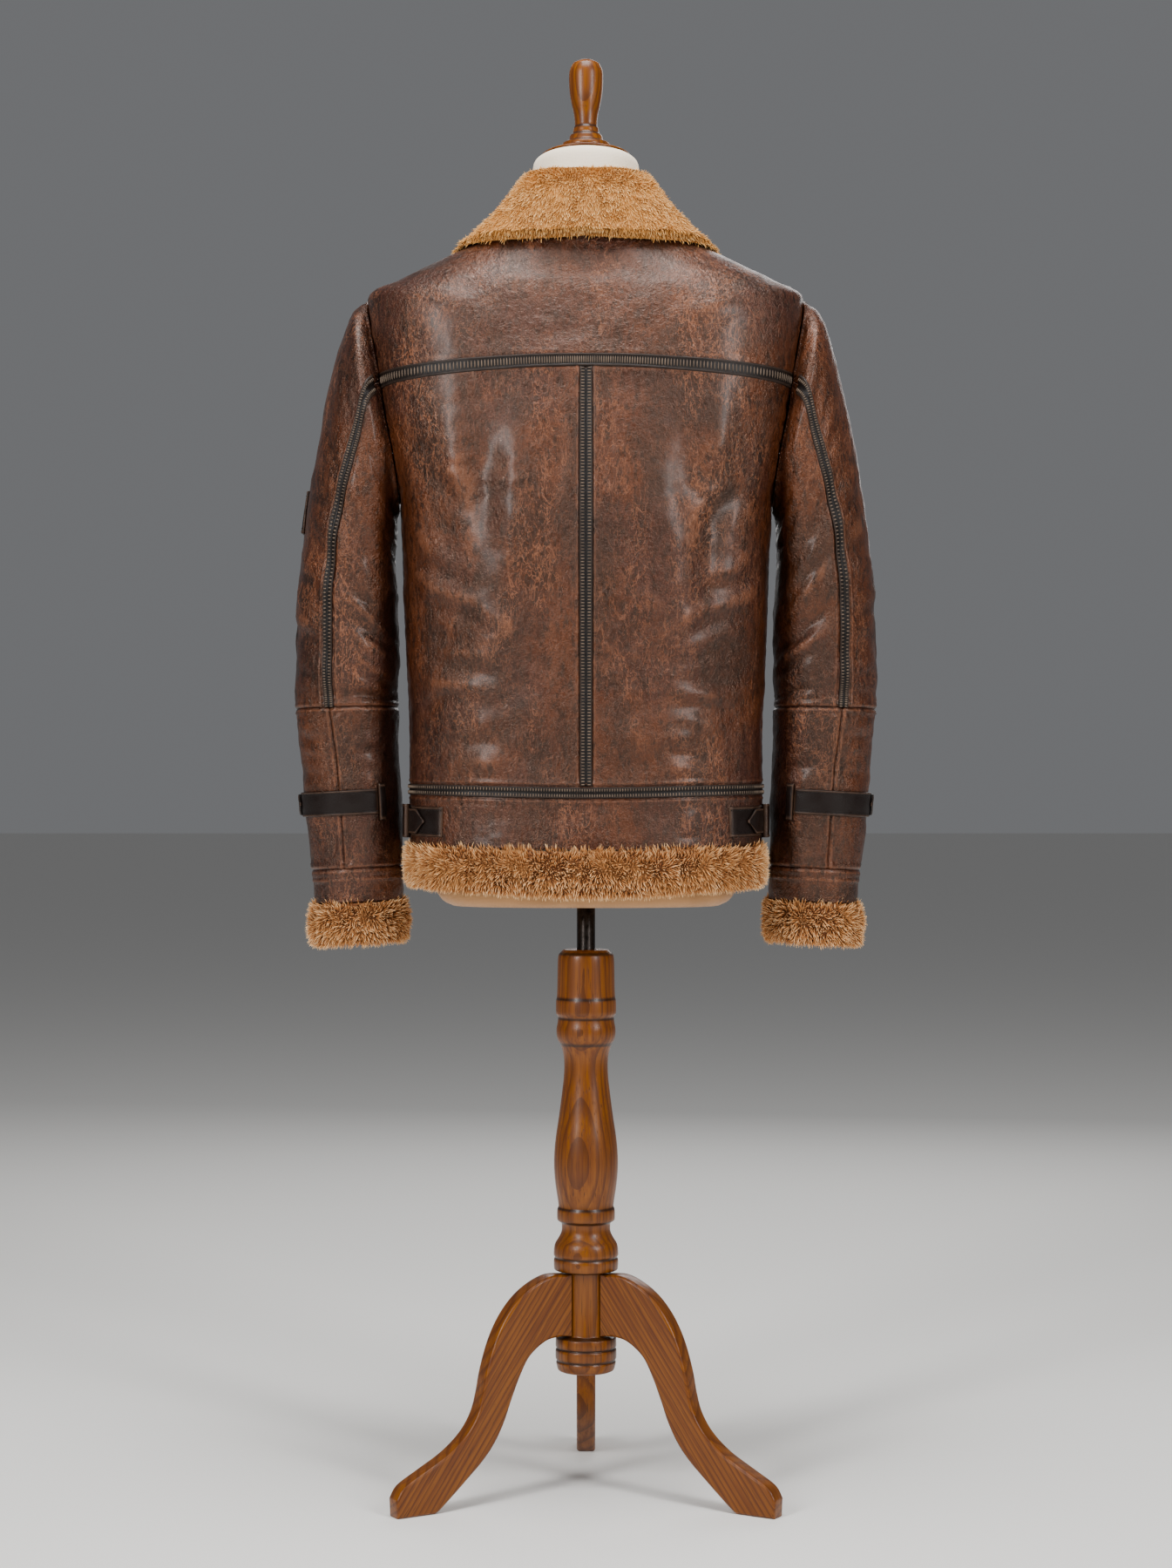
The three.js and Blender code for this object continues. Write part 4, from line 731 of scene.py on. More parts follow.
@dataclass(frozen=True)
class Cotton(Finish):
    """Plain woven or knitted cotton cover."""

    body: str
    shadow: str
    threads: float = 260.0

    def paint(self, g: Graph) -> dict:
        """Colour and weave."""
        ways = [g.add("ShaderNodeTexWave", {"Vector": g.place(), "Scale": self.threads},
                      bands_direction=way).outputs["Fac"] for way in "XZ"]
        weave = g.sum("MULTIPLY", *ways)
        clouds = g.stretch(g.noise(g.place(), 30, 4), 0.3, 0.7, 0, 0.35)
        base = g.tint(clouds, self.body, self.shadow)
        base = g.tint(g.stretch(weave, 0, 1, 0.22, 0), base, self.shadow)
        return {
            "Base Color": base, "Roughness": 0.9, "Specular IOR Level": 0.25,
            "Sheen Weight": 0.2, "Normal": g.relief(weave, 0.35, 0.0004),
        }


@dataclass(frozen=True)
class Oak(Finish):
    """Stained oak: flat-sawn layers, fibres and open pores, under a satin varnish, with painted shade in
    the turned grooves.
    """

    body: str = "5d2d03"
    late: str = "3f1a02"
    pale: str = "7a4405"
    # Colour of the pores, also used as painted shade in the turned grooves
    pore_and_groove_shade: str = "180902"

    def paint(self, g: Graph) -> dict:
        """Colour, pores and varnish."""
        drift = g.noise(g.place(scale=(9, 9, 1.7), source="grain"), 1, 3, 0.5)
        sway = g.add("ShaderNodeVectorMath", {0: g.place(source="grain"), 1: (0, 1, 0)},
                     operation="DOT_PRODUCT").outputs[1]
        depth = g.sum("MULTIPLY_ADD", drift, 0.024, sway)
        layer = g.sum("FRACT", g.sum("MULTIPLY", depth, 190))
        late = g.stretch(layer, 0.45, 0.97)
        fibre = g.noise(g.place(scale=(260, 260, 9), source="grain"), 1, 4, 0.6)
        base = g.tint(g.stretch(fibre, 0.3, 0.72), self.pale, self.body)
        base = g.tint(g.sum("MULTIPLY", late, 0.62), base, self.late)
        dashes = g.noise(g.place(scale=(900, 900, 34), source="grain"), 1, 2, 0.5)
        pores = g.sum("MULTIPLY", g.stretch(dashes, 0.6, 0.7), g.stretch(layer, 0.75, 0.2, 0.35, 1))
        base = g.tint(g.sum("MULTIPLY", pores, 0.6), base, self.pore_and_groove_shade)
        # Painted shade: darker about the turned grooves
        base = g.tint(g.stretch(g.fact("wear"), 0, 1, 0, 0.85), base, self.pore_and_groove_shade)
        height = g.sum("SUBTRACT", g.sum("MULTIPLY", fibre, 0.4), pores)
        rough = g.stretch(fibre, 0.3, 0.7, 0.3, 0.42)
        return {
            "Base Color": base, "Roughness": rough, "Specular IOR Level": 0.3,
            "Coat Weight": 0.1, "Coat Roughness": 0.2, "Normal": g.relief(height, 0.25, 0.0004),
        }


@dataclass(frozen=True)
class Metal(Finish):
    """Brushed or tarnished metal."""

    body: str
    tarnish: str
    gloss: float

    def paint(self, g: Graph) -> dict:
        """Colour and fine lines."""
        flat = g.place()
        clouds = g.stretch(g.noise(flat, 160, 4, 0.6), 0.35, 0.7)
        lines = g.noise(g.place(scale=(1, 1, 14)), 240, 2)
        rough = g.stretch(lines, 0.3, 0.7, self.gloss, self.gloss + 0.16)
        return {
            "Base Color": g.tint(clouds, self.body, self.tarnish),
            "Metallic": 1.0, "Roughness": rough, "Normal": g.relief(lines, 0.1, 0.0002),
        }


class Slot(Enum):
    """The record's material slots."""

    LEATHER = "shearling_leather"
    FUR = "fur"
    TAPE = "trim_tape"
    STRAP = "strap_leather"
    ZIP = "zip_brass"
    COVER = "form_cover"
    BASE = "form_base_cloth"
    OAK = "oak"
    POLE = "pole_metal"


class Finishes:
    """Every finish of the coat and its stand, made once."""

    def __init__(self) -> None:
        """Makes the materials."""
        self.plush = Fur("sheared_plush", "8f5a22", "cf9145", "f3cd8f", "c4863a").make()
        self.ribs = DarkTrim("tape_thread", "665648", "95887a", 0.5).make()
        self.by_slot = {
            Slot.LEATHER: WornLeather("worn_leather").make(),
            Slot.FUR: Fur("curly_wool", "552a0f", "bd7b3f", "f8d29e", "bf864a").make(),
            Slot.TAPE: DarkTrim("ribbed_tape", "0d0705", "33261e", 0.4).make(),
            Slot.STRAP: DarkTrim("strap_leather", "120704", "4f392b", 0.36).make(),
            Slot.ZIP: Metal("aged_brass", "8a6f3e", "4a3a20", 0.3).make(),
            Slot.COVER: Cotton("white_cotton", "fff0d8", "f0dcc0").make(),
            Slot.BASE: Cotton("tan_cotton", "b98a5c", "84592f").make(),
            Slot.OAK: Oak("oak").make(),
            Slot.POLE: Metal("dark_steel", "3a3532", "1d1a18", 0.28).make(),
        }

    def of(self, slot: Slot) -> Material:
        """The finish of one slot."""
        return self.by_slot[slot]

    def settle(self, piece: Piece, slot: Slot, *nodes: str, body: str = "dressed_form",
               material: Material | None = None) -> None:
        """Dresses a piece, puts it on its body and lets it stand for CAD nodes.

        Args:
            piece: the finished mesh.
            slot: the record's material slot.
            nodes: the CAD nodes that it replaces.
            body: the body that it rides on.
            material: its finish, where it isn't the slot's own.
        """
        piece.data.materials.clear()
        piece.data.materials.append(material or self.of(slot))
        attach(piece, body)
        if nodes:
            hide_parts(*nodes)
        LOG.info("%s: %d faces on %s", piece.name, len(piece.data.polygons), body)


# Geometry Nodes


class Repeat:
    """A Geometry Nodes tree, run once on a piece and then turned into a plain mesh."""

    def __init__(self, name: str, **inputs: float) -> None:
        """Makes an empty tree whose inputs have these names and values."""
        self.tree = bpy.data.node_groups.new(name, "GeometryNodeTree")
        face = self.tree.interface
        face.new_socket("Geometry", in_out="INPUT", socket_type="NodeSocketGeometry")
        face.new_socket("Geometry", in_out="OUTPUT", socket_type="NodeSocketGeometry")
        self.values = {}
        for label, value in inputs.items():
            kind = "NodeSocketInt" if isinstance(value, int) else "NodeSocketFloat"
            socket = face.new_socket(label, in_out="INPUT", socket_type=kind)
            self.values[socket.identifier] = value
        self.graph = Graph(self.tree)
        self.given = self.graph.add("NodeGroupInput").outputs

    def end(self, instances: Socket, material: Material) -> None:
        """Realizes the instances, gives them their finish and ends the tree."""
        solid = self.graph.add("GeometryNodeRealizeInstances", {0: instances}).outputs[0]
        dressed = self.graph.add("GeometryNodeSetMaterial", {"Geometry": solid, "Material": material})
        self.graph.add("NodeGroupOutput", {0: dressed.outputs[0]})

    def run(self, source: Piece, name: str) -> Piece:
        """Evaluates the tree on a piece, and makes a plain mesh object of what it made."""
        modifier = source.modifiers.new(self.tree.name, "NODES")
        modifier.node_group = self.tree
        for identifier, value in self.values.items():
            modifier[identifier] = value
        bpy.context.view_layer.update()
        evaluated = source.evaluated_get(bpy.context.evaluated_depsgraph_get())
        mesh = bpy.data.meshes.new_from_object(evaluated)
        source.modifiers.remove(modifier)
        return linked(name, mesh)


@dataclass
class Pile:
    """Tufts of wool that grow from a fur piece's skin."""

    material: Material
    length: float
    thickness: float
    spacing: float
    clump: float

    def grow(self, skin: Piece, name: str, seed: int) -> Piece:
        """Grows the tufts of one skin as a mesh of their own.

        Args:
            skin: stores how much it grows as `pile` and its combed way as `comb`.
            name: the tufts' name.
            seed: fixed number for the scatter.
        """
        work = Repeat("wool_tufts", Length=self.length * MM, Thickness=self.thickness * MM,
                      Spacing=self.spacing * MM, Seed=seed)
        g, given = work.graph, work.given
        tuft = self.tuft(g, given)
        points = g.add("GeometryNodeDistributePointsOnFaces", {
            "Mesh": given["Geometry"], "Distance Min": given["Spacing"], "Density Max": 900000.0,
            "Density Factor": g.stored("pile", "FLOAT"), "Seed": given["Seed"],
        }, distribute_method="POISSON")
        lean = g.vector("MULTIPLY", self.cloud(g, 110.0), (self.clump,) * 3)
        lean = g.vector("MULTIPLY_ADD", self.cloud(g, 520.0), (2.0,) * 3, lean)
        lean = g.vector("ADD", lean, g.stored("comb", "FLOAT_VECTOR"))
        lean = g.vector("ADD", lean, points.outputs["Normal"])
        turned = g.add("FunctionNodeAlignRotationToVector", {"Vector": lean}, axis="Z").outputs[0]
        spin = g.chance(given["Seed"], 0.0, 2 * math.pi)
        twist = g.add("FunctionNodeAxisAngleToRotation", {"Axis": (0, 0, 1), "Angle": spin})
        rotation = g.add("FunctionNodeRotateRotation",
                         {"Rotation": turned, "Rotate By": twist.outputs[0]}, rotation_space="LOCAL")
        placed = g.add("GeometryNodeInstanceOnPoints", {
            "Points": points.outputs["Points"], "Instance": tuft,
            "Rotation": rotation.outputs[0], "Scale": g.chance(given["Seed"], 0.72, 1.18),
        })
        stored = g.add("GeometryNodeStoreNamedAttribute", {
            "Geometry": placed.outputs[0], "Name": "shade", "Value": g.chance(given["Seed"], -0.5, 0.5),
        }, data_type="FLOAT", domain="INSTANCE")
        work.end(stored.outputs[0], self.material)
        return work.run(skin, name)

    @staticmethod
    def cloud(g: Graph, scale: float) -> Socket:
        """A slowly changing direction, so that neighbouring tufts lean together."""
        field = g.add("ShaderNodeTexNoise", {"Scale": scale, "Detail": 1.0}).outputs[1]
        return g.vector("SUBTRACT", field, (0.5, 0.5, 0.5))

    @staticmethod
    def tuft(g: Graph, given: bpy.types.NodeOutputs) -> Socket:
        """One pointed tuft with three sides, from its root at the origin upwards."""
        cone = g.add("GeometryNodeMeshCone", {
            "Vertices": 3, "Radius Top": 0.0,
            "Radius Bottom": given["Thickness"], "Depth": given["Length"],
        }, fill_type="NONE").outputs["Mesh"]
        place = g.add("GeometryNodeInputPosition").outputs[0]
        height = g.add("ShaderNodeSeparateXYZ", {0: place}).outputs["Z"]
        share = g.sum("DIVIDE", height, given["Length"])
        return g.add("GeometryNodeStoreNamedAttribute", {
            "Geometry": cone, "Name": "tip", "Value": share,
        }, data_type="FLOAT", domain="POINT").outputs[0]


@dataclass
class Stitching:
    """Small rounded bars set along rows of points, as stitches, ribs or teeth."""

    material: Material
    length: float
    width: float
    height: float
    faceted: bool = False

    def lay(self, name: str, places: Array, along: Array, out: Array) -> Piece:
        """Sets one bar at each place.

        Args:
            name: the piece's name.
            places: their middles, in mm about the axis.
            along: the bars' long way.
            out: the way out of the cloth.

        Returns:
            The bars as one mesh.
        """
        points = mesh_object(name + "_places", places, [])
        attribute(points, "along", along)
        attribute(points, "out", out)
        work = Repeat("sewn_bars", Length=self.length * MM, Width=self.width * MM,
                      Height=self.height * MM)
        g, given = work.graph, work.given
        kind = "GeometryNodeMeshCube" if self.faceted else "GeometryNodeMeshUVSphere"
        inputs = {"Size": (1, 1, 1)} if self.faceted else {"Segments": 6, "Rings": 4, "Radius": 0.5}
        bar = g.add(kind, inputs).outputs["Mesh"]
        size = g.add("ShaderNodeCombineXYZ", {0: given["Length"], 1: given["Width"], 2: given["Height"]})
        bar = g.add("GeometryNodeTransform", {"Geometry": bar, "Scale": size.outputs[0]}).outputs[0]
        bar = g.add("GeometryNodeSetShadeSmooth", {
            "Geometry": bar, "Shade Smooth": not self.faceted,
        }).outputs[0]
        turned = g.add("FunctionNodeAlignRotationToVector",
                       {"Vector": g.stored("out", "FLOAT_VECTOR")}, axis="Z").outputs[0]
        turned = g.add("FunctionNodeAlignRotationToVector",
                       {"Rotation": turned, "Vector": g.stored("along", "FLOAT_VECTOR")},
                       axis="X", pivot_axis="Z").outputs[0]
        cloud = g.add("GeometryNodeMeshToPoints", {"Mesh": given["Geometry"]}).outputs[0]
        placed = g.add("GeometryNodeInstanceOnPoints", {
            "Points": cloud, "Instance": bar, "Rotation": turned,
        }).outputs[0]
        work.end(placed, self.material)
        piece = work.run(points, name)
        bpy.data.objects.remove(points)
        return piece


# Creases, seams and tapes as heights on the cloth


@dataclass(frozen=True)
class Crease:
    """A soft trough between two places, with a low shoulder on each side."""

    start: tuple[float, float]
    end: tuple[float, float]
    bow: float
    width: float
    depth: float

    def height(self, x: Array, y: Array) -> Array:
        """Its height at each point of the unrolled cloth, in mm."""
        share = np.linspace(0, 1, 13)
        a, b = np.array(self.start, float), np.array(self.end, float)
        along = b - a
        across = np.array([-along[1], along[0]]) / np.hypot(*along)
        path = a + along * share[:, None] + across * (self.bow * 4 * share * (1 - share))[:, None]
        near, at = np.full(x.shape, 1e9), np.zeros(x.shape)
        for i in range(len(path) - 1):
            d = path[i + 1] - path[i]
            t = np.clip(((x - path[i, 0]) * d[0] + (y - path[i, 1]) * d[1]) / (d @ d), 0, 1)
            gap = np.hypot(x - path[i, 0] - t * d[0], y - path[i, 1] - t * d[1])
            closer = gap < near
            near, at = np.where(closer, gap, near), np.where(closer, share[i] + t / 12, at)
        fade = np.sin(np.pi * np.clip(at, 0.02, 0.98)) ** 0.7
        width = 1.2 * self.width
        trough = bump(near, width)
        shoulder = bump(near - 2 * width, width)
        return -1.25 * self.depth * fade * (trough - 0.6 * shoulder)


def creased(x: Array, y: Array, rows: Sequence[Sequence[float]], wide: float, tall: float) -> Array:
    """Adds up rows of creases, whose turns count wide and whose heights count tall mm each."""
    height = np.zeros(x.shape)
    for start_turn, start, end_turn, end, *shape in rows:
        ends = (start_turn * wide, start * tall), (end_turn * wide, end * tall)
        height = height + Crease(*ends, *shape).height(x, y)
    return height


# Degrees of turn as millimetres of unrolled cloth
BODY_SPREAD = 2.45
SLEEVE_SPREAD = 1.05
STEP_LENGTH = 44.0

# Creases of the back and the fronts: turn and level at each end, bow, width and depth
BODY_CREASES = (
    (-61, 1088, -50, 900, 7, 9, 2.1), (-31, 1095, -33, 915, -6, 11, 1.5),
    (58, 1092, 48, 905, -7, 9, 2.1), (27, 1085, 30, 920, 5, 11, 1.5),
    (-12, 1105, -14, 985, 4, 6, 1.1), (9, 1100, 12, 1000, -4, 5, 1.2),
    (-58, 1030, -44, 985, 6, 6, 1.7), (-64, 960, -43, 925, -8, 6, 1.9),
    (-66, 905, -40, 880, 7, 6, 1.8), (-62, 850, -34, 838, -6, 7, 1.9),
    (-66, 800, -42, 812, 6, 6, 1.5), (-60, 765, -30, 778, -5, 7, 1.4),
    (60, 1020, 46, 975, -7, 6, 1.8), (67, 948, 44, 918, 8, 6, 2), (64, 893, 38, 868, -7, 6, 1.7),
    (66, 838, 40, 832, 7, 7, 1.9), (60, 790, 36, 802, -6, 6, 1.5), (58, 752, 28, 768, 5, 6, 1.2),
    (-34, 905, -14, 842, 10, 7, 1.6), (-28, 866, -9, 800, 9, 6, 1.3), (-24, 822, -7, 766, 8, 6, 1.2),
    (33, 895, 14, 836, -10, 7, 1.6), (27, 850, 9, 790, -9, 6, 1.3), (25, 806, 8, 752, -7, 6, 1.1),
    (-44, 760, -20, 742, 5, 7, 1.1), (42, 752, 18, 738, -5, 7, 1.2),
    (-57, 1200, -30, 1178, 7, 9, 0.9), (56, 1196, 28, 1180, -7, 9, 0.9), (-18, 1170, 8, 1166, 6, 9, 0.6),
    (139, 1060, 147, 900, 9, 8, 2), (-141, 1070, -148, 905, -9, 8, 2), (120, 985, 142, 945, 7, 7, 1.7),
    (-118, 978, -140, 935, -7, 7, 1.8), (118, 915, 144, 890, 8, 7, 1.6),
    (-120, 900, -145, 880, -8, 7, 1.6), (117, 850, 140, 838, 6, 7, 1.5),
    (-116, 846, -141, 826, -6, 7, 1.5), (122, 790, 146, 800, 6, 7, 1.3),
    (-121, 785, -146, 796, -6, 7, 1.3), (112, 1180, 140, 1140, 8, 9, 1.1),
    (-112, 1178, -140, 1138, -8, 9, 1.1),
    (100, 960, 112, 930, 4, 6, 1.4), (-100, 955, -112, 925, -4, 6, 1.4),
)

# Creases of each sleeve: turn and step at each end, bow, width and depth
SLEEVE_CREASES = {
    -1: (
        (30, 3.3, 120, 4, 8, 6, 1.6), (10, 4.9, 95, 4.7, -7, 6, 1.8), (60, 5.2, 150, 5.8, 8, 6, 2),
        (5, 6.1, 85, 5.9, 6, 5.5, 1.9), (70, 6.3, 165, 6.9, -8, 6, 2.1), (-10, 7, 80, 7.1, 6, 5.5, 1.9),
        (85, 7.4, 170, 7.9, 7, 5.5, 1.9), (10, 8, 75, 8.2, -5, 5, 1.6), (90, 8.3, 165, 8.6, 5, 5, 1.5),
        (20, 9.8, 110, 9.9, 6, 5, 1.3), (85, 10.3, 160, 10.7, -6, 5, 1.4),
        (15, 10.8, 90, 10.9, 5, 5, 1.1), (60, 12.3, 130, 12.4, 4, 5, 0.9),
        (200, 5.1, 300, 4.8, 8, 6, 1.8), (190, 6.5, 290, 6.3, -8, 6, 1.9),
        (200, 7.7, 300, 7.4, 7, 6, 1.7), (210, 10.2, 300, 10.1, 6, 5, 1.3),
        (-80, 8.6, 10, 8.7, 6, 5, 1.3), (-60, 5.6, 5, 5.5, -6, 6, 1.4),
    ),
    1: (
        (35, 3.1, 122, 3.7, -8, 6, 1.5), (8, 4.6, 92, 4.5, 7, 6, 1.8), (62, 5, 152, 5.5, -8, 6, 2),
        (5, 5.8, 88, 5.6, -6, 5.5, 2), (72, 6, 165, 6.6, 8, 6, 2.1), (-8, 6.8, 82, 6.9, -6, 5.5, 1.8),
        (86, 7.1, 168, 7.6, -7, 5.5, 2), (12, 7.8, 78, 8, 5, 5, 1.6), (92, 8.1, 165, 8.5, -5, 5, 1.6),
        (22, 10, 108, 10.1, -6, 5, 1.3), (88, 10.5, 158, 10.9, 6, 5, 1.4), (18, 11, 92, 11.1, -5, 5, 1),
        (62, 12.4, 128, 12.5, -4, 5, 0.9), (202, 4.9, 300, 4.6, -8, 6, 1.8),
        (192, 6.2, 290, 6, 8, 6, 1.9), (200, 7.4, 300, 7.2, -7, 6, 1.7),
        (212, 10.4, 300, 10.3, -6, 5, 1.3), (-78, 8.4, 12, 8.5, -6, 5, 1.3),
        (-62, 5.3, 6, 5.2, 6, 6, 1.4),
    ),
}


# How deep a trough may press into the wall, in mm
DEEPEST = 4.2


class Edge(Enum):
    """How a panel's edge is finished."""

    SEWN = "sewn to the next panel, with a rounded lip"
    TAPED = "hidden under a tape, with a rounded lip beside it"
    PLAIN = "covered by fur or the collar"


# Creases fade in between these distances from an edge, in mm
FADES = {Edge.SEWN: (-4, 14), Edge.TAPED: (7, 26), Edge.PLAIN: (2, 14)}


def lip(distance: Array, edge: Edge) -> Pair:
    """Height in mm of the cloth at a distance from a seam, and how much paler its lip is from 0 to 1,
    partly rubbing and partly a painted highlight.
    """
    if edge is Edge.SEWN:
        height = 0.75 * bump(distance - 3.8, 2.2) - 0.9 * bump(distance, 1.2)
        return height, 0.6 * bump(distance - 2.4, 1.3)
    if edge is Edge.TAPED:
        height = 1.15 * bump(distance - 8.8, 1.7) + 0.35 * bump(distance - 14, 5)
        return height * smooth(distance, 6.4, 7.4), 0.5 * bump(distance - 8.6, 1.4)
    return 0 * distance, 0 * distance


def graded(length: float, pitch: float) -> Array:
    """Shares from 0 to 1 along an edge of that length, closer together near its ends."""
    near = np.array([0, 0.7, 1.5, 2.4, 3.4, 4.6, 6, 7.4, 8.6, 9.8, 11.4, 13.8])
    count = max(2, round((length - 2 * near[-1]) / pitch))
    middle = np.linspace(near[-1], length - near[-1], count + 1)[1:-1]
    return np.concatenate([near, middle, length - near[::-1]]) / length


def distances(points: Array) -> tuple[Array, Array, Array, Array]:
    """How far each point of a grid lies from its left, right, bottom and top edges."""
    across = np.linalg.norm(np.diff(points, axis=1), axis=-1).cumsum(1)
    across = np.concatenate([np.zeros((points.shape[0], 1)), across], 1)
    up = np.linalg.norm(np.diff(points, axis=0), axis=-1).cumsum(0)
    up = np.concatenate([np.zeros((1, points.shape[1])), up], 0)
    return across, across[:, -1:] - across, up, up[-1:] - up


@dataclass
class Cut:
    """The flat size of a panel before it was sewn: width, length and area in metres."""

    width: float
    length: float
    area: float


@dataclass
class Panel:
    """A panel of shearling: a wall whose outside has creases, puckers and rounded seams."""

    finishes: Finishes
    name: str
    edges: tuple[Edge, Edge, Edge, Edge]
    cut: Cut

    def make(self, points: Array, normals: Array, inner: Array, height: Array, keep: Array,
             x: Array, y: Array, seed: int) -> None:
        """Args:
            points: its outside without creases, as a grid.
            normals: the way out at each point.
            inner: its inside.
            height: creases, in mm.
            keep: 0 where something is sewn on, 1 where creases are free.
            x: place around the cloth, in mm.
            y: place along it.
            seed: fixed number for the fine ripples.
        """
        ripple = 0.6 * lattice(x / 17, y / 11, seed) + 0.4 * lattice(x / 8, y / 6, seed + 1)
        swell = 1.2 * lattice(x / 40, y / 34, seed + 2)
        height = (height + ripple + swell) * keep
        height = np.where(height < 0, DEEPEST * np.tanh(height / DEEPEST), height)
        wear, lips = np.zeros_like(height), np.zeros_like(height)
        fade = np.ones_like(height)
        for distance, edge in zip(distances(points), self.edges):
            # Each lip made paler, partly rubbing and partly a painted highlight
            rise, lip_wear_and_highlight = lip(distance, edge)
            if edge is Edge.SEWN:
                pucker = 0.5 * np.sin((x + y) * 0.42 + 2 * lattice(x / 30, y / 30, seed + 3))
                lips += pucker * bump(distance - 9, 5)
            fade *= smooth(distance, *FADES[edge])
            lips += rise
            wear = np.maximum(wear, lip_wear_and_highlight)
        height = height * fade
        # Raised ridges made paler, partly rubbing and partly a painted highlight; sunken troughs darkened
        # by painted shade
        raised = smooth(height, 0.5, 2.4) * 0.55
        painted_trough_shade = smooth(-height, 0.7, 3.2) * 0.85
        name, cut = self.name, self.cut
        piece = slab(f"{name}_shearling", points + normals * (height + lips)[..., None], inner)
        outside(piece, "wear", np.maximum(wear, raised))
        outside(piece, "shade", painted_trough_shade)
        self.finishes.settle(piece, Slot.LEATHER, name)


def shares_of(length: float, pitch: float, at_top: bool) -> Array:
    """Shares along a stretch, graded only at the end that is a panel's edge."""
    near_edge = graded(length, pitch)
    plain = np.linspace(0, 1, max(3, round(length / pitch) + 1))
    if at_top:
        return np.concatenate([plain[plain <= 0.6], near_edge[near_edge > 0.6]])
    return np.concatenate([near_edge[near_edge < 0.4], plain[plain >= 0.4]])


def armhole_shares(start: float, end: float, rows: int) -> Array:
    """Shares of the height beside the armhole, at even turns of the armhole's curve."""
    turns = np.cos(np.radians(np.linspace(start, end, rows + 1)))
    return (turns - turns[0]) / (turns[-1] - turns[0])


YOKE_EDGE_TURN = math.degrees(math.acos(
    (float(Body.yoke_seam(72)) - ARMHOLE_MIDDLE) / ARMHOLE_HALF_HEIGHT))
SEAM_TURN = math.degrees(SEAM_GAP / 2 / 130)


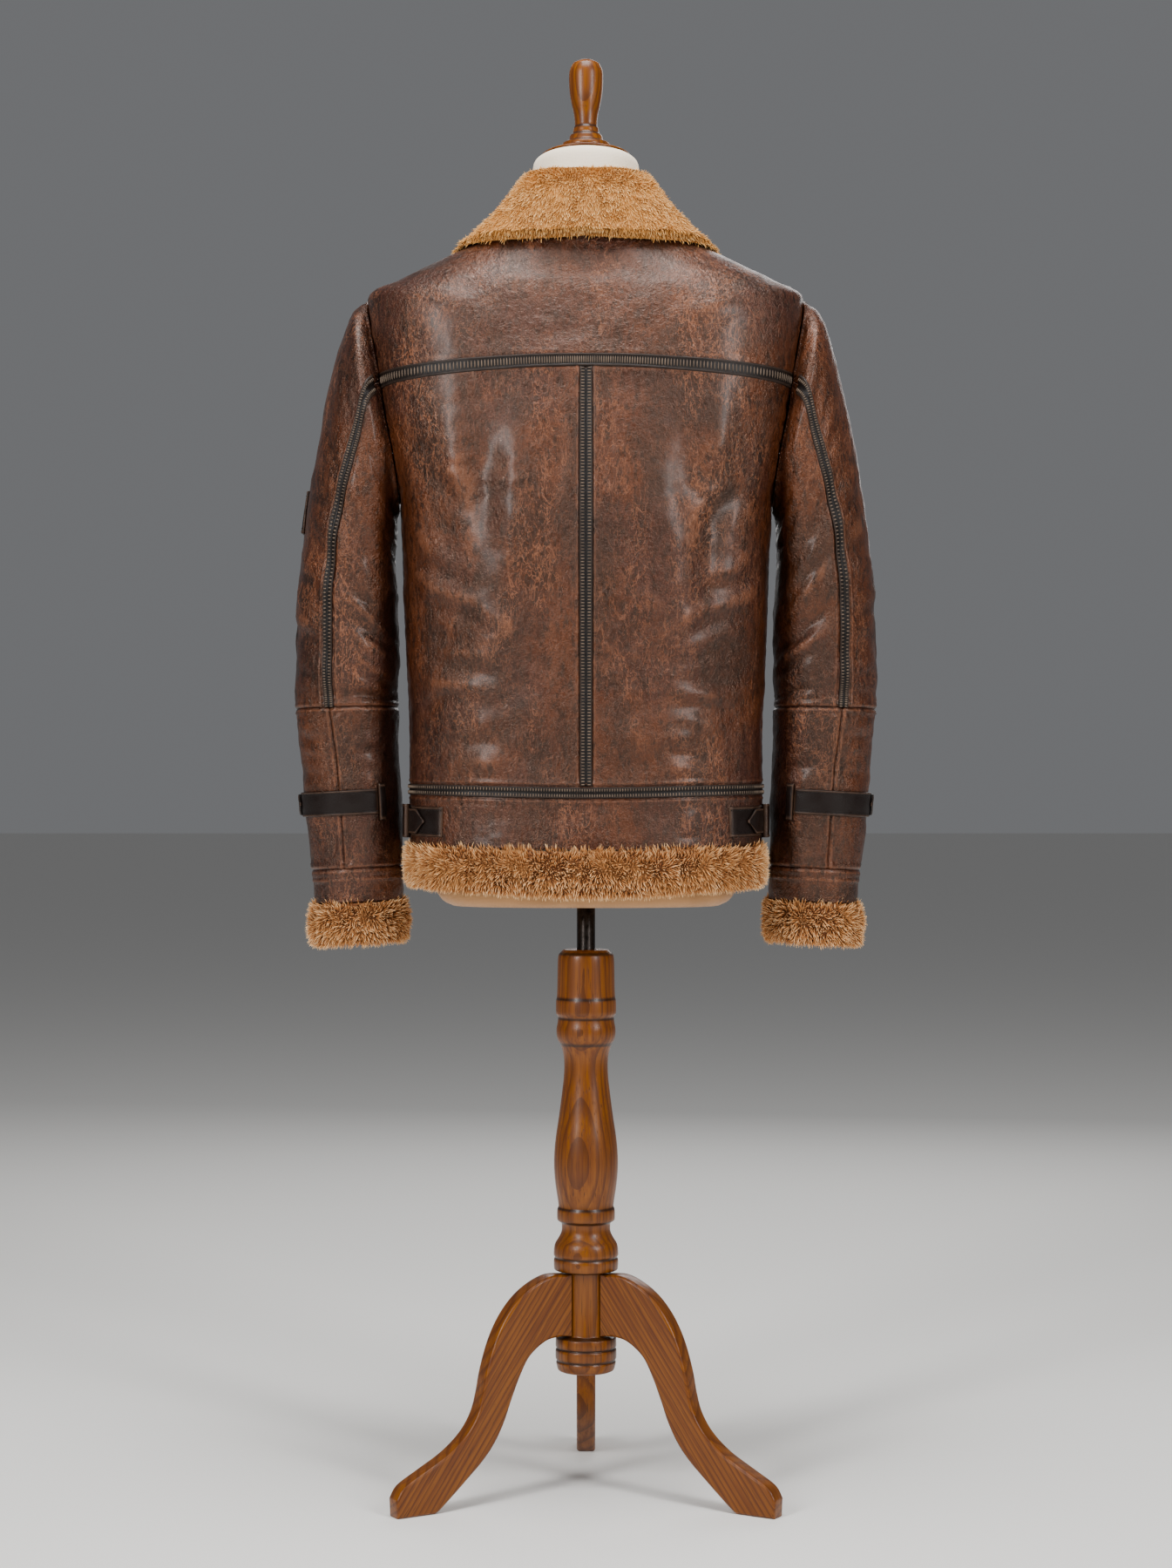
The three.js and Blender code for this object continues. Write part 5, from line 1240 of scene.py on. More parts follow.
@dataclass
class CoatBody:
    """The back, yoke, fronts and hem bands."""

    finishes: Finishes
    pitch: float = 5.0
    armhole_rows: int = 46

    def build(self) -> None:
        """Makes every panel of the body."""
        waist = WAIST_LEVEL + SEAM_GAP / 2
        lower = shares_of(ARMHOLE_BOTTOM - waist, self.pitch, False)
        upper = shares_of(NECK_LEVEL - ARMHOLE_TOP, self.pitch, True)
        half = graded(235, self.pitch)
        beside = armhole_shares(180, YOKE_EDGE_TURN, self.armhole_rows)
        over = armhole_shares(YOKE_EDGE_TURN, 0, 26)
        for seed, (word, side) in enumerate(SIDES):
            level = self.levels(half, (waist, ARMHOLE_BOTTOM, lower),
                                (ARMHOLE_BOTTOM, Body.yoke_seam(72 * half) - SEAM_GAP / 2, beside))
            turn = side * mix(SEAM_TURN, Body.side_turn(level, 1) - SEAM_TURN, half)
            edges = (Edge.TAPED, Edge.SEWN, Edge.TAPED, Edge.TAPED)
            self.panel(f"back_{word}", turn, level, edges, Cut(0.262, 0.43, 0.0995), 3 + seed)
        both = graded(470, self.pitch) * 2 - 1
        level = self.levels(both, (Body.yoke_seam(72 * both) + SEAM_GAP / 2, ARMHOLE_TOP, over),
                            (ARMHOLE_TOP, NECK_LEVEL, upper))
        turn = both * (Body.side_turn(level, 1) - SEAM_TURN)
        edges = (Edge.SEWN, Edge.SEWN, Edge.TAPED, Edge.PLAIN)
        self.panel("back_yoke", turn, level, edges, Cut(0.5, 0.21, 0.084), 11)
        front_beside = armhole_shares(180, 0, self.armhole_rows + 20)
        for seed, (word, side) in enumerate(SIDES):
            level = self.levels(half, (waist, ARMHOLE_BOTTOM, lower),
                                (ARMHOLE_BOTTOM, ARMHOLE_TOP, front_beside),
                                (ARMHOLE_TOP, NECK_LEVEL, upper))
            edge = 180 - np.degrees(ZIP_HALF_GAP / BODY_RINGS.read("front", level))
            turn = side * mix(Body.side_turn(level, -1) + SEAM_TURN, edge, half)
            edges = (Edge.SEWN,) * 3 + (Edge.PLAIN,)
            self.panel(f"front_{word}", turn, level, edges, Cut(0.27, 0.6, 0.149), 21 + seed)
        self.hem_bands(both, half)

    def hem_bands(self, both: Array, half: Array) -> None:
        """Makes the three pieces of the band above the hem's fur."""
        top = WAIST_LEVEL - SEAM_GAP / 2
        edge = 180 - math.degrees(ZIP_HALF_GAP / 142)
        spans = (
            ("back", both * (90 - SEAM_TURN), Edge.TAPED, Cut(0.52, 0.06, 0.0308)),
            ("left", -mix(edge, 90 + SEAM_TURN, half), Edge.SEWN, Cut(0.27, 0.06, 0.0159)),
            ("right", mix(90 + SEAM_TURN, edge, half), Edge.SEWN, Cut(0.27, 0.06, 0.0159)),
        )
        for seed, (word, turns, top_edge, cut) in enumerate(spans):
            level = self.levels(turns, (HEM_LEVEL, top, graded(56, 3.4)))
            turn = np.broadcast_to(turns, level.shape)
            edges = (Edge.SEWN, Edge.SEWN, Edge.PLAIN, top_edge)
            self.panel(f"hem_band_{word}", turn, level, edges, cut, 31 + seed)

    @staticmethod
    def levels(across: Array, *stretches: tuple) -> Array:
        """A grid of levels: one column for each of across, and a start, an end and shares a stretch."""
        rows = []
        for number, (start, end, shares) in enumerate(stretches):
            low, high = np.broadcast_to(start, across.shape), np.broadcast_to(end, across.shape)
            rows.append(mix(low, high, shares[1 if number else 0:, None]))
        return np.concatenate(rows, 0)

    def panel(self, name: str, turn: Array, level: Array, edges: tuple, cut: Cut,
              seed: int) -> None:
        """Makes one panel."""
        x = turn * BODY_SPREAD
        Panel(self.finishes, name, edges, cut).make(
            Body.coat(turn, level), Body.normal(turn, level), Body.coat(turn, level, -BODY_WALL),
            creased(x, level, BODY_CREASES, BODY_SPREAD, 1), self.keep(turn, level), x, level, seed)

    @staticmethod
    def keep(turn: Array, level: Array) -> Array:
        """0 under the collar and under the side adjusters, 1 elsewhere."""
        under_collar = smooth(level, 1222, 1240)
        near = smooth(np.abs(np.abs(turn) - 80.5), 30, 24) * smooth(np.abs(level - ADJUSTER_LEVEL), 24, 17)
        return (1 - under_collar) * (1 - near)


@dataclass
class Sleeve:
    """One sleeve: its two upper pieces, two forearm pieces and cuff band."""

    finishes: Finishes
    word: str
    side: int
    pitch: float = 5.0

    def build(self) -> None:
        """Makes the sleeve's panels."""
        self.arm = Arm(self.side)
        inner = INNER_SEAM_TURN
        elbow, forearm = ELBOW_STEP - ELBOW_GAP, ELBOW_STEP + ELBOW_GAP
        cuff = CUFF_STEP - ELBOW_GAP / 2
        top_cut, under_cut = Cut(0.22, 0.42, 0.076), Cut(0.21, 0.3, 0.052)
        outer_cut, inner_cut = Cut(0.19, 0.17, 0.0305), Cut(0.17, 0.17, 0.0275)
        taped_right = (Edge.SEWN, Edge.TAPED, Edge.SEWN, Edge.SEWN)
        taped_left = (Edge.TAPED, Edge.SEWN, Edge.SEWN, Edge.SEWN)
        plain = (Edge.SEWN,) * 4
        self.panel("topsleeve", inner - 360, None, 0, elbow, 400, taped_right, top_cut, 41)
        self.panel("undersleeve", None, inner, 0, elbow, 300, taped_left, under_cut, 43)
        self.panel("forearm_outer", inner - 360, None, forearm, cuff, 165, plain, outer_cut, 45)
        self.panel("forearm_inner", None, inner, forearm, cuff, 165, plain, inner_cut, 47)
        self.cuff_band()

    def panel(self, word: str, start: float | None, end: float | None, first: float, last: float,
              length: float, edges: tuple, cut: Cut, seed: int) -> None:
        """Makes one panel; a start or end of None is the back seam."""
        columns = graded(205, self.pitch)
        step = mix(first, last, graded(length, self.pitch))[:, None] * np.ones(columns.shape)
        gap = math.degrees(SEAM_GAP / 2 / 55)
        seam = Arm.back_seam(step)
        low = (seam if start is None else start) + gap
        high = (seam if end is None else end) - gap
        turn = mix(low, high, columns)
        Panel(self.finishes, f"{self.word}_{word}", edges, cut).make(
            self.arm.cloth(turn, step), self.arm.normal(turn, step),
            self.arm.inside(turn, step), self.creases(turn, step), self.keep(turn, step),
            turn * SLEEVE_SPREAD, step * STEP_LENGTH, seed + self.side)

    def creases(self, turn: Array, step: Array) -> Array:
        """Creases of the sleeve at each point."""
        turn = np.mod(turn + 108, 360) - 108
        return creased(turn * SLEEVE_SPREAD, step * STEP_LENGTH, SLEEVE_CREASES[self.side],
                       SLEEVE_SPREAD, STEP_LENGTH)

    def keep(self, turn: Array, step: Array) -> Array:
        """0 under the cuff strap and the pocket flap, 1 elsewhere."""
        turn = np.mod(turn + 180, 360) - 180
        strap = smooth(np.abs(step - STRAP_STEP), 0.5, 0.36) * smooth(np.abs(turn - 54), 96, 84)
        flap = smooth(np.abs(step - 5.06), 0.55, 0.4) * smooth(np.abs(turn + 15), 30, 22)
        return (1 - strap) * (1 - flap * (self.side < 0))

    def cuff_band(self) -> None:
        """Makes the leather ring above the cuff's fur."""
        turn = np.linspace(0, 360, 84, endpoint=False)
        step = mix(CUFF_STEP + ELBOW_GAP / 2, MOUTH_STEP, graded(36, 3))[:, None]
        turn, step = np.broadcast_arrays(turn, step)
        distance = (step - CUFF_STEP) * 36
        rise, wear = lip(distance, Edge.SEWN)
        x, y = turn * SLEEVE_SPREAD, step * STEP_LENGTH
        ripple = 0.5 * lattice(x / 15, y / 12, 51) * smooth(distance, 3, 12) * smooth(distance, 36, 30)
        out = ripple + rise + 0.8 * bump(distance - 9.5, 1.5)
        outer, inner = self.arm.cloth(turn, step, out), self.arm.cloth(turn, step, -SLEEVE_WALL)
        name = f"{self.word}_cuff_band"
        wall = np.concatenate([outer, inner[::-1]], 0).transpose(1, 0, 2)
        piece = roll(f"{name}_shearling", wall)
        # The ridge above the cuff seam made paler, partly rubbing and partly a painted highlight
        wear = np.maximum(wear, 0.6 * bump(distance - 9.5, 1.5))
        ends = np.concatenate([wear, np.zeros_like(wear)], 0).T.ravel()
        attribute(piece, "wear", ends)
        attribute(piece, "shade", np.zeros_like(ends))
        self.finishes.settle(piece, Slot.LEATHER, name)


# Fur


def closed_spline(points: Array, per: int) -> Array:
    """Points on a smooth closed line through the given ones, along axis 1."""
    around = [np.roll(points, shift, 1) for shift in (1, 0, -1, -2)]
    pieces = [hermite(*around, t) for t in np.arange(per) / per]
    return np.stack(pieces, 2).reshape(points.shape[0], -1, 3)


@dataclass
class FurTrim:
    """The collar, the hem's roll and the cuffs' rolls: each a skin and its wool."""

    finishes: Finishes
    inset: float = 4.6

    def build(self) -> None:
        """Makes all the fur."""
        self.pile = Pile(self.finishes.plush, 5.4, 0.75, 1.05, 1.6)
        self.collar()
        self.pile = Pile(self.finishes.of(Slot.FUR), 7.5, 0.95, 1.15, 3.6)
        self.hem()
        for word, side in SIDES:
            self.cuff(word, side)

    def dress(self, node: str, rings: Array, grows: Array, comb: Array, joined: bool,
              seed: int) -> None:
        """Makes a skin and grows its wool.

        Args:
            node: the CAD node that they stand for.
            rings: sections of the fur's outside, each a ring of points.
            grows: how densely wool grows at each point, from 0 to 1.
            comb: the way the wool is combed at each point.
            joined: whether the last section meets the first.
            seed: fixed number for the scatter.
        """
        along = np.roll(rings, -1, 0) - np.roll(rings, 1, 0)
        if not joined:
            along[0], along[-1] = rings[1] - rings[0], rings[-1] - rings[-2]
        across = np.roll(rings, -1, 1) - np.roll(rings, 1, 1)
        way = unit(np.cross(along, across))
        outward = rings - rings.mean(1, keepdims=True)
        way = way * np.sign((way * outward).sum((1, 2), keepdims=True))
        i = np.arange(rings.shape[0])[:, None] * 1.0
        k = np.arange(rings.shape[1]) * 1.0
        lumps = 0.7 * lattice(i / 2.7, k / 3.1, seed) + 0.5 * lattice(i / 6, k / 5, seed + 1)
        skin_points = rings - way * (self.inset * grows - lumps * grows)[..., None]
        make = roll if joined else loft
        skin = make(f"{node}_skin", skin_points)
        if not joined:
            grows = np.append(grows.ravel(), (1.0, 1.0))
            comb = np.concatenate([comb.reshape(-1, 3), np.zeros((2, 3))])
        attribute(skin, "pile", grows.ravel())
        attribute(skin, "comb", comb.reshape(-1, 3))
        attribute(skin, "tip", np.full(grows.size, 0.12))
        attribute(skin, "shade", np.zeros(grows.size))
        wool = self.pile.grow(skin, f"{node}_wool", seed)
        self.finishes.settle(skin, Slot.FUR, node, material=self.pile.material)
        self.finishes.settle(wool, Slot.FUR, material=self.pile.material)

    def collar(self) -> None:
        """Makes the turned-down collar."""
        turns = np.linspace(-COLLAR_OPEN_TURN, COLLAR_OPEN_TURN, 131)
        size = {name: COLLAR_ROWS.read(name, np.abs(turns)) for name in COLLAR_ROWS.columns}
        angle = np.radians(turns)
        way = np.stack([np.sin(angle), -np.cos(angle), 0 * angle], -1)

        def at_height(points: Array, height: Array) -> Array:
            return np.concatenate([points[:, :2], np.asarray(height).reshape(-1, 1)], 1)

        foot = Body.point(turns, NECK_LEVEL + 1)
        edge, edge_normal = Body.point(turns, size["edge"]), Body.normal(turns, size["edge"])
        fold = at_height(way * size["topRadius"][:, None], size["topZ"])
        crest = fold + way * COLLAR_FOLD_ROUND
        tip = edge + edge_normal * size["fur"][:, None]

        def under(level: Array) -> Array:
            return Body.point(turns, level) + Body.normal(turns, level) * COLLAR_LIFT

        def on_fall(t: float) -> Array:
            return mix(crest, tip, t) + (way + UP) * (size["swell"] * math.sin(t * math.pi))[:, None]

        below = edge + edge_normal * (size["fur"] * 0.45)[:, None] + way * 3
        section = np.stack([
            foot - way * 6,
            at_height(fold, fold[:, 2] - COLLAR_FOLD_ROUND),
            at_height(fold + way * 2, fold[:, 2] - 2),
            crest, on_fall(0.3), on_fall(0.6), on_fall(0.85), tip + way, below,
            under(size["edge"]), under(mix(size["edge"], NECK_LEVEL, 0.5)), under(NECK_LEVEL - 1),
            at_height(foot, foot[:, 2] + 1.5),
        ], 1)
        per = 5
        rings = closed_spline(section, per)
        place = np.arange(rings.shape[1]) / per
        grows = smooth(place, 0.2, 1.2) * smooth(place, 9, 8.2) * np.ones(rings.shape[:1])[:, None]
        comb = UP * mix(0.35, -1.1, smooth(place, 2.5, 4.5))[:, None] + 0 * rings
        self.dress("collar", rings, grows, comb, False, 7)

    def hem(self) -> None:
        """Makes the roll of fur along the hem."""
        gap = math.degrees(1 / 142)
        turns = np.linspace(-180 + gap, 180 - gap, 261)
        across = np.sin(np.radians(turns))
        lump = 1.2 * np.sin(np.radians(turns) * 11) + 0.8 * np.sin(np.radians(turns) * 17)
        middle, out_way = Body.point(turns, HEM_LEVEL), Body.normal(turns, HEM_LEVEL)
        out_way = unit(out_way * (1, 1, 0))
        top = middle[:, 2] - (HEM_LEVEL - 661.6)
        bottom = 614 + 9 * across**2
        reach = mix(14, 6, across**4) + lump
        self.roll_of("hem_fur", middle, out_way, -10.0, reach, bottom, top, False, 9)

    def cuff(self, word: str, side: int) -> None:
        """Makes the roll of fur at one cuff."""
        arm = Arm(side)
        turns = np.linspace(0, 360, 96, endpoint=False)
        rim = arm.ring(MOUTH_STEP, turns)
        out_way = unit((rim - arm.ring(MOUTH_STEP, turns + 180)) * (1, 1, 0))
        angle = np.radians(turns)
        lump = 0.9 * np.sin(angle * 7) + 0.6 * np.sin(angle * 4 + 1)
        top = rim[:, 2] - 0.3
        self.roll_of(f"{word}_cuff_fur", rim, out_way, -11.0, 6 + lump, top - 45, top, True,
                     13 + side)

    def roll_of(self, node: str, middle: Array, out_way: Array, inner: float, outer: Array,
                bottom: Array, top: Array, joined: bool, seed: int) -> None:
        """Makes a roll with a squarish rounded section."""
        angle = np.linspace(0, 2 * np.pi, 32, endpoint=False)
        fullness = (np.abs(np.cos(angle)) ** 3 + np.abs(np.sin(angle)) ** 3) ** (-1 / 3)
        across, up = (np.cos(angle) * fullness + 1) / 2, (np.sin(angle) * fullness + 1) / 2
        reach = inner + (outer[:, None] - inner) * across
        height = bottom[:, None] + (top - bottom)[:, None] * up
        rings = middle[:, None] + out_way[:, None] * reach[..., None]
        rings[..., 2] = height
        grows = np.maximum(smooth(across, 0.1, 0.3), smooth(up, 0.4, 0.2)) * smooth(up, 1.02, 0.96)
        rise = mix(-1.0, 0.7, smooth(up, 0.2, 1))[:, None]
        comb = out_way[:, None] * 0.25 + UP * rise
        self.dress(node, rings, grows * np.ones(rings.shape[:2]), comb, joined, seed)


# Trim sewn on the cloth


@dataclass
class Surface:
    """A place on the coat for trim: maps a run along it and a distance across it to points.

    `route` gives the cloth's two coordinates from a share of the run and a distance across, in mm.
    """

    finishes: Finishes
    cloth: Callable
    normal: Callable
    route: Callable

    def at(self, share: Array, across: Array, out: Array) -> Array:
        """Points at a share of the run, a distance across it and a height."""
        share, across, out = np.broadcast_arrays(share, across, out)
        return self.cloth(*self.route(share, across), out)

    def ways(self, share: Array, across: Array) -> tuple[Array, Array, Array]:
        """Directions along the run, across it and out of the cloth."""
        share, across = np.broadcast_arrays(np.asarray(share, float), np.asarray(across, float))
        zero = np.zeros(share.shape)
        along = unit(self.at(share + 0.001, across, zero) - self.at(share - 0.001, across, zero))
        out = self.normal(*self.route(share, across))
        return along, unit(np.cross(out, along)), out

    def bars(self, name: str, bar: Stitching, slot: Slot, share: Array, lane: Array, out: float,
             crossways: bool = False) -> None:
        """Sets small bars along the run.

        Args:
            name: their mesh's name.
            bar: one bar's size and finish.
            slot: the record's material slot.
            share: each bar's share of the run.
            lane: each bar's distance across it, in mm.
            out: their height over the cloth, in mm.
            crossways: whether they lie across the run.
        """
        along, over, way = self.ways(share, lane)
        piece = bar.lay(name, self.at(share, lane, out), over if crossways else along, way)
        self.finishes.settle(piece, slot, material=bar.material)

    def length(self) -> float:
        """Length of the run, in mm."""
        run = self.at(np.linspace(0, 1, 60), np.zeros(60), np.zeros(60))
        return float(np.linalg.norm(np.diff(run, axis=0), axis=1).sum())


class Ribs(Enum):
    """Rows of ribs across a tape: their offsets, and how long each rib is."""

    ONE = ((0.0,), 8.6)
    TWO = ((-3.3, 3.3), 4.4)
    NARROW = ((-2.8, 2.8), 3.6)


@dataclass
class Tape:
    """A ribbed tape with raised rims, laid over a seam."""

    name: str
    surface: Surface
    width: float
    ribs: Ribs
    finishes: Finishes
    pitch: float = 3.1

    def build(self) -> None:
        """Makes the tape and its ribs."""
        length = self.surface.length()
        share = np.linspace(0, 1, round(length / 4) + 1)[:, None]
        half = self.width / 2
        across = np.array([-1, -0.96, -0.86, -0.74, -0.5, -0.2, 0, 0.2, 0.5, 0.74, 0.86, 0.96, 1]) * half
        rim = 0.8 * bump(np.abs(across) - 0.86 * half, 0.8) - 0.7 * bump(np.abs(across) - half, 0.5)
        groove = -0.9 * bump(across, 0.9) if self.ribs is not Ribs.ONE else 0 * across
        high = TRIM_LIFT + TAPE_WALL
        outer = self.surface.at(share, across, high - 0.35 + rim + groove)
        inner = self.surface.at(share, across, TRIM_LIFT + 0 * across)
        piece = slab(f"{self.name}_band", outer, inner)
        wear = np.broadcast_to(0.75 * bump(np.abs(across) - 0.86 * half, 0.8), outer.shape[:2])
        outside(piece, "wear", wear)
        self.finishes.settle(piece, Slot.TAPE, self.name)
        offsets, rib = self.ribs.value
        run, rows = np.meshgrid(even(round(length / self.pitch)), offsets)
        bar = Stitching(self.finishes.ribs, rib, 1.5, 1.6)
        self.surface.bars(f"{self.name}_ribs", bar, Slot.TAPE, run.ravel(), rows.ravel(),
                          high - 0.2, True)


@dataclass
class Trims:
    """The tapes, straps, adjusters, flap and top stitching."""

    finishes: Finishes

    def build(self) -> None:
        """Makes all of them."""
        self.arms = {word: Arm(side) for word, side in SIDES}
        self.tapes()
        for word, side in SIDES:
            self.cuff_strap(word)
            self.adjuster(word, side)
            self.top_stitches(word)
        self.pocket_flap()
        self.body_stitches()

    def body(self, route: Callable) -> Surface:
        """A run on the body."""
        return Surface(self.finishes, Body.coat, Body.normal, route)

    def sleeve(self, word: str, route: Callable) -> Surface:
        """A run on a sleeve."""
        return Surface(self.finishes, self.arms[word].cloth, self.arms[word].normal, route)

    def tapes(self) -> None:
        """Makes the five tapes."""
        end = float(Body.side_turn(Body.yoke_seam(72), 1)) - 2.4

        def yoke(share: Array, across: Array) -> Pair:
            turn = mix(-end, end, share)
            return turn, Body.yoke_seam(turn) + across

        def sleeve(share: Array, across: Array) -> Pair:
            step = (ELBOW_STEP - ELBOW_GAP) * mix(1 / 17, 1, share)
            return Arm.back_seam(step) + np.degrees(across / 58), step

        bottom = WAIST_LEVEL + TAPE_WIDTH / 2 + SEAM_GAP
        top = YOKE_LEVEL - TAPE_WIDTH / 2 - SEAM_GAP
        spine = self.body(lambda share, across: (np.degrees(across / 131), mix(bottom, top, share)))
        waist = self.body(lambda share, across: (mix(-86, 86, share), WAIST_LEVEL + across))
        narrow = TAPE_WIDTH - 2, Ribs.NARROW
        rows = [("yoke", self.body(yoke), TAPE_WIDTH, Ribs.ONE),
                ("centre_back", spine, TAPE_WIDTH, Ribs.TWO), ("waist", waist, *narrow)]
        rows += [(f"{word}_sleeve", self.sleeve(word, sleeve), *narrow) for word, _ in SIDES]
        for word, surface, width, ribs in rows:
            Tape(f"{word}_tape", surface, width, ribs, self.finishes).build()

    def plate(self, node: str, surface: Surface, reach: Callable, low: float, high: float,
              columns: int, stitched: bool = True) -> None:
        """Makes a leather strap or patch with piped edges and a row of stitches.

        Args:
            node: the CAD node that it stands for.
            surface: where it lies.
            reach: half its width at a share of the run, in mm.
            low: height of its underside.
            high: height of its top.
            columns: how many steps it has along the run.
            stitched: whether stitches run beside its edges.
        """
        share = np.linspace(0, 1, columns)[:, None]
        lane = np.array([-1, -0.975, -0.92, -0.86, -0.78, -0.5, 0, 0.5, 0.78, 0.86, 0.92, 0.975, 1])
        half = reach(share)
        ends = smooth(np.minimum(share, 1 - share) * (columns - 1), 0, 1.2)
        rim = 0.65 * bump(np.abs(lane) - 0.91, 0.05) - 0.8 * (np.abs(lane) == 1)
        crown = 0.5 * (1 - lane**2)
        outer = surface.at(share, lane * half, high - 0.5 + (rim + crown) * ends - 0.5 * (1 - ends))
        inner = surface.at(share, lane * half, low + 0 * lane * share)
        piece = slab(f"{node}_leather", outer, inner)
        wear = np.maximum(bump(np.abs(lane) - 0.91, 0.05) * ends, 1 - ends) * 0.8
        outside(piece, "wear", wear)
        self.finishes.settle(piece, Slot.STRAP, node)
        if stitched:
            count = max(3, round(surface.length() / 4.2))
            run, lanes = np.tile(even(count), 2), np.repeat([-0.76, 0.76], count)
            bar = Stitching(self.finishes.of(Slot.TAPE), 2.8, 0.8, 0.7)
            surface.bars(f"{node}_stitches", bar, Slot.STRAP, run, lanes * reach(run), high - 0.1)

    def cuff_strap(self, word: str) -> None:
        """Makes a cuff's strap, its keeper and its sewn end."""
        keeper, tip, point, end = 124, -24, 16, (-22, 16)
        high = TRIM_LIFT + STRAP_WALL
        rows = (
            ("strap", lambda s: mix(keeper - 1, tip, s),
             lambda s: 12.5 * np.minimum(1, (mix(keeper - 1, tip, s) - tip + 2) / point),
             TRIM_LIFT, high, 60, True),
            ("keeper", lambda s: keeper + np.degrees((s * 7) / 52), lambda s: 17.7 + 0 * s,
             TRIM_LIFT, high + 2, 9, False),
            ("strap_end", lambda s: mix(*end, s),
             lambda s: 10.9 * np.minimum(1, (18 - mix(*end, s)) / point),
             high + TRIM_LIFT, high + TRIM_LIFT + STRAP_WALL, 24, True),
        )
        for part, turn, *sizes in rows:
            def route(share: Array, across: Array, turn: Callable = turn) -> Pair:
                return turn(share), STRAP_STEP + across / 40.3
            self.plate(f"{word}_cuff_{part}", self.sleeve(word, route), *sizes)

    def adjuster(self, word: str, side: int) -> None:
        """Makes a side adjuster: patch, pointed strap end and loop."""
        top = TRIM_LIFT + 1.4
        parts = (
            ("patch", 57.5, 104, lambda s: 15 + 0 * s, TRIM_LIFT, top, 30, True),
            ("strap", 65.5, 76.7, lambda s: 12.5 * np.minimum(1, 0.08 + s * 2.2), top + TRIM_LIFT,
             top + TRIM_LIFT + STRAP_WALL, 24, False),
            ("loop", 77, 82, lambda s: 17 + 0 * s, top + TRIM_LIFT, top + TRIM_LIFT + 6.5, 9, False),
        )
        for part, start, end, reach, low, high, columns, stitched in parts:
            def route(share: Array, across: Array, start: float = start, end: float = end) -> Pair:
                return side * mix(start, end, share), ADJUSTER_LEVEL + across
            self.plate(f"{word}_adjuster_{part}", self.body(route), reach, low, high, columns, stitched)

    def pocket_flap(self) -> None:
        """Makes the flap on the left upper arm."""
        start, end, first, last = -34, 4, 4.7, 5.42
        reach = (last - first) / 2 * 44
        surface = self.sleeve("left", lambda share, across: (
            mix(start, end, share), (first + last) / 2 + across / 44))
        self.plate("left_pocket_flap", surface, lambda s: reach + 0 * s, TRIM_LIFT, TRIM_LIFT + 2.6, 24)

    def sew(self, name: str, surface: Surface, across: float, out: float) -> None:
        """Sews one row of top stitches."""
        bar = Stitching(self.finishes.of(Slot.LEATHER), 2.9, 0.85, 0.7)
        share = even(round(surface.length() / 4.3))
        surface.bars(f"{name}_stitches", bar, Slot.LEATHER, share, across, out)

    def top_stitches(self, word: str) -> None:
        """Sews the rows beside the sleeve's seams."""
        rows = (("armhole", 0.24, 0, 0.9), ("elbow", ELBOW_STEP, 5.5, 0.95),
                ("cuff", CUFF_STEP, -5.5, 0.95))
        for part, step, across, out in rows:
            def route(share: Array, across: Array, step: float = step) -> Pair:
                return 360 * share, step + across / 42 + 0 * share
            self.sew(f"{word}_{part}", self.sleeve(word, route), across, out)

    def body_stitches(self) -> None:
        """Sews the rows beside the front edges."""
        for word, side in SIDES:
            def route(share: Array, across: Array, side: int = side) -> Pair:
                level = mix(HEM_LEVEL + 4, NECK_LEVEL - 80, share)
                depth = BODY_RINGS.read("front", level)
                return side * (180 - np.degrees((ZIP_HALF_GAP + 8 + across) / depth)), level
            self.sew(f"{word}_front", self.body(route), 0, 0.4)


# Zip


@dataclass
class Zip:
    """The zip's strip and its teeth; the slider and pull tab keep their solids."""

    finishes: Finishes

    def build(self) -> None:
        """Makes the strip and teeth, and dresses the slider and tab."""
        bottom, top = HEM_LEVEL + 1, NECK_LEVEL - 18

        def route(share: Array, across: Array) -> Pair:
            level = mix(bottom, top, share)
            return 180 + np.degrees(across / BODY_RINGS.read("front", level)), level

        def plain(turn: Array, level: Array, out: Array) -> Array:
            return Body.point(turn, level) + Body.normal(turn, level) * out[..., None]

        surface = Surface(self.finishes, plain, Body.normal, route)
        share = np.linspace(0, 1, 160)[:, None]
        across = np.linspace(-3.2, 3.2, 5)
        strip = slab("front_zip_strip", surface.at(share, across, -2.6), surface.at(share, across, -3.6))
        attribute(strip, "wear", np.zeros(len(strip.data.vertices)))
        self.finishes.settle(strip, Slot.ZIP, "front_zip", material=self.finishes.of(Slot.TAPE))
        count = round(surface.length() / 1.8)
        lane = np.where(np.arange(count) % 2, 0.9, -0.9)
        tooth = Stitching(self.finishes.of(Slot.ZIP), 3.4, 1.2, 1.4, True)
        surface.bars("front_zip_teeth", tooth, Slot.ZIP, even(count), lane, -1.9, True)
        for node in ("zip_slider", "zip_pull"):
            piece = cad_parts[node]
            piece.data.materials.clear()
            piece.data.materials.append(self.finishes.of(Slot.ZIP))


# Form and stand


def spline_stack(rings: Array, per: int) -> Array:
    """More rings between the given ones, on smooth lines through their points."""
    padded = np.concatenate([rings[:1], rings, rings[-1:]])
    made = [hermite(*padded[i:i + 4], t)
            for i in range(len(rings) - 1) for t in np.arange(per) / per]
    return np.stack(made + [rings[-1]])


FORM_ROWS = Table(
    "level inset",
    (632, 27), (662, 25), (790, 27), (960, 17), (1090, 16), (1150, 17),
    (1185, 13), (1215, 8), (1245, 7.6), (1275, 8), (1296, 13),
)
FORM_LEVELS = (690, 790, 880, 960, 1020, 1080, 1130, 1165, 1190, 1212, 1234, 1256, 1278, 1296)
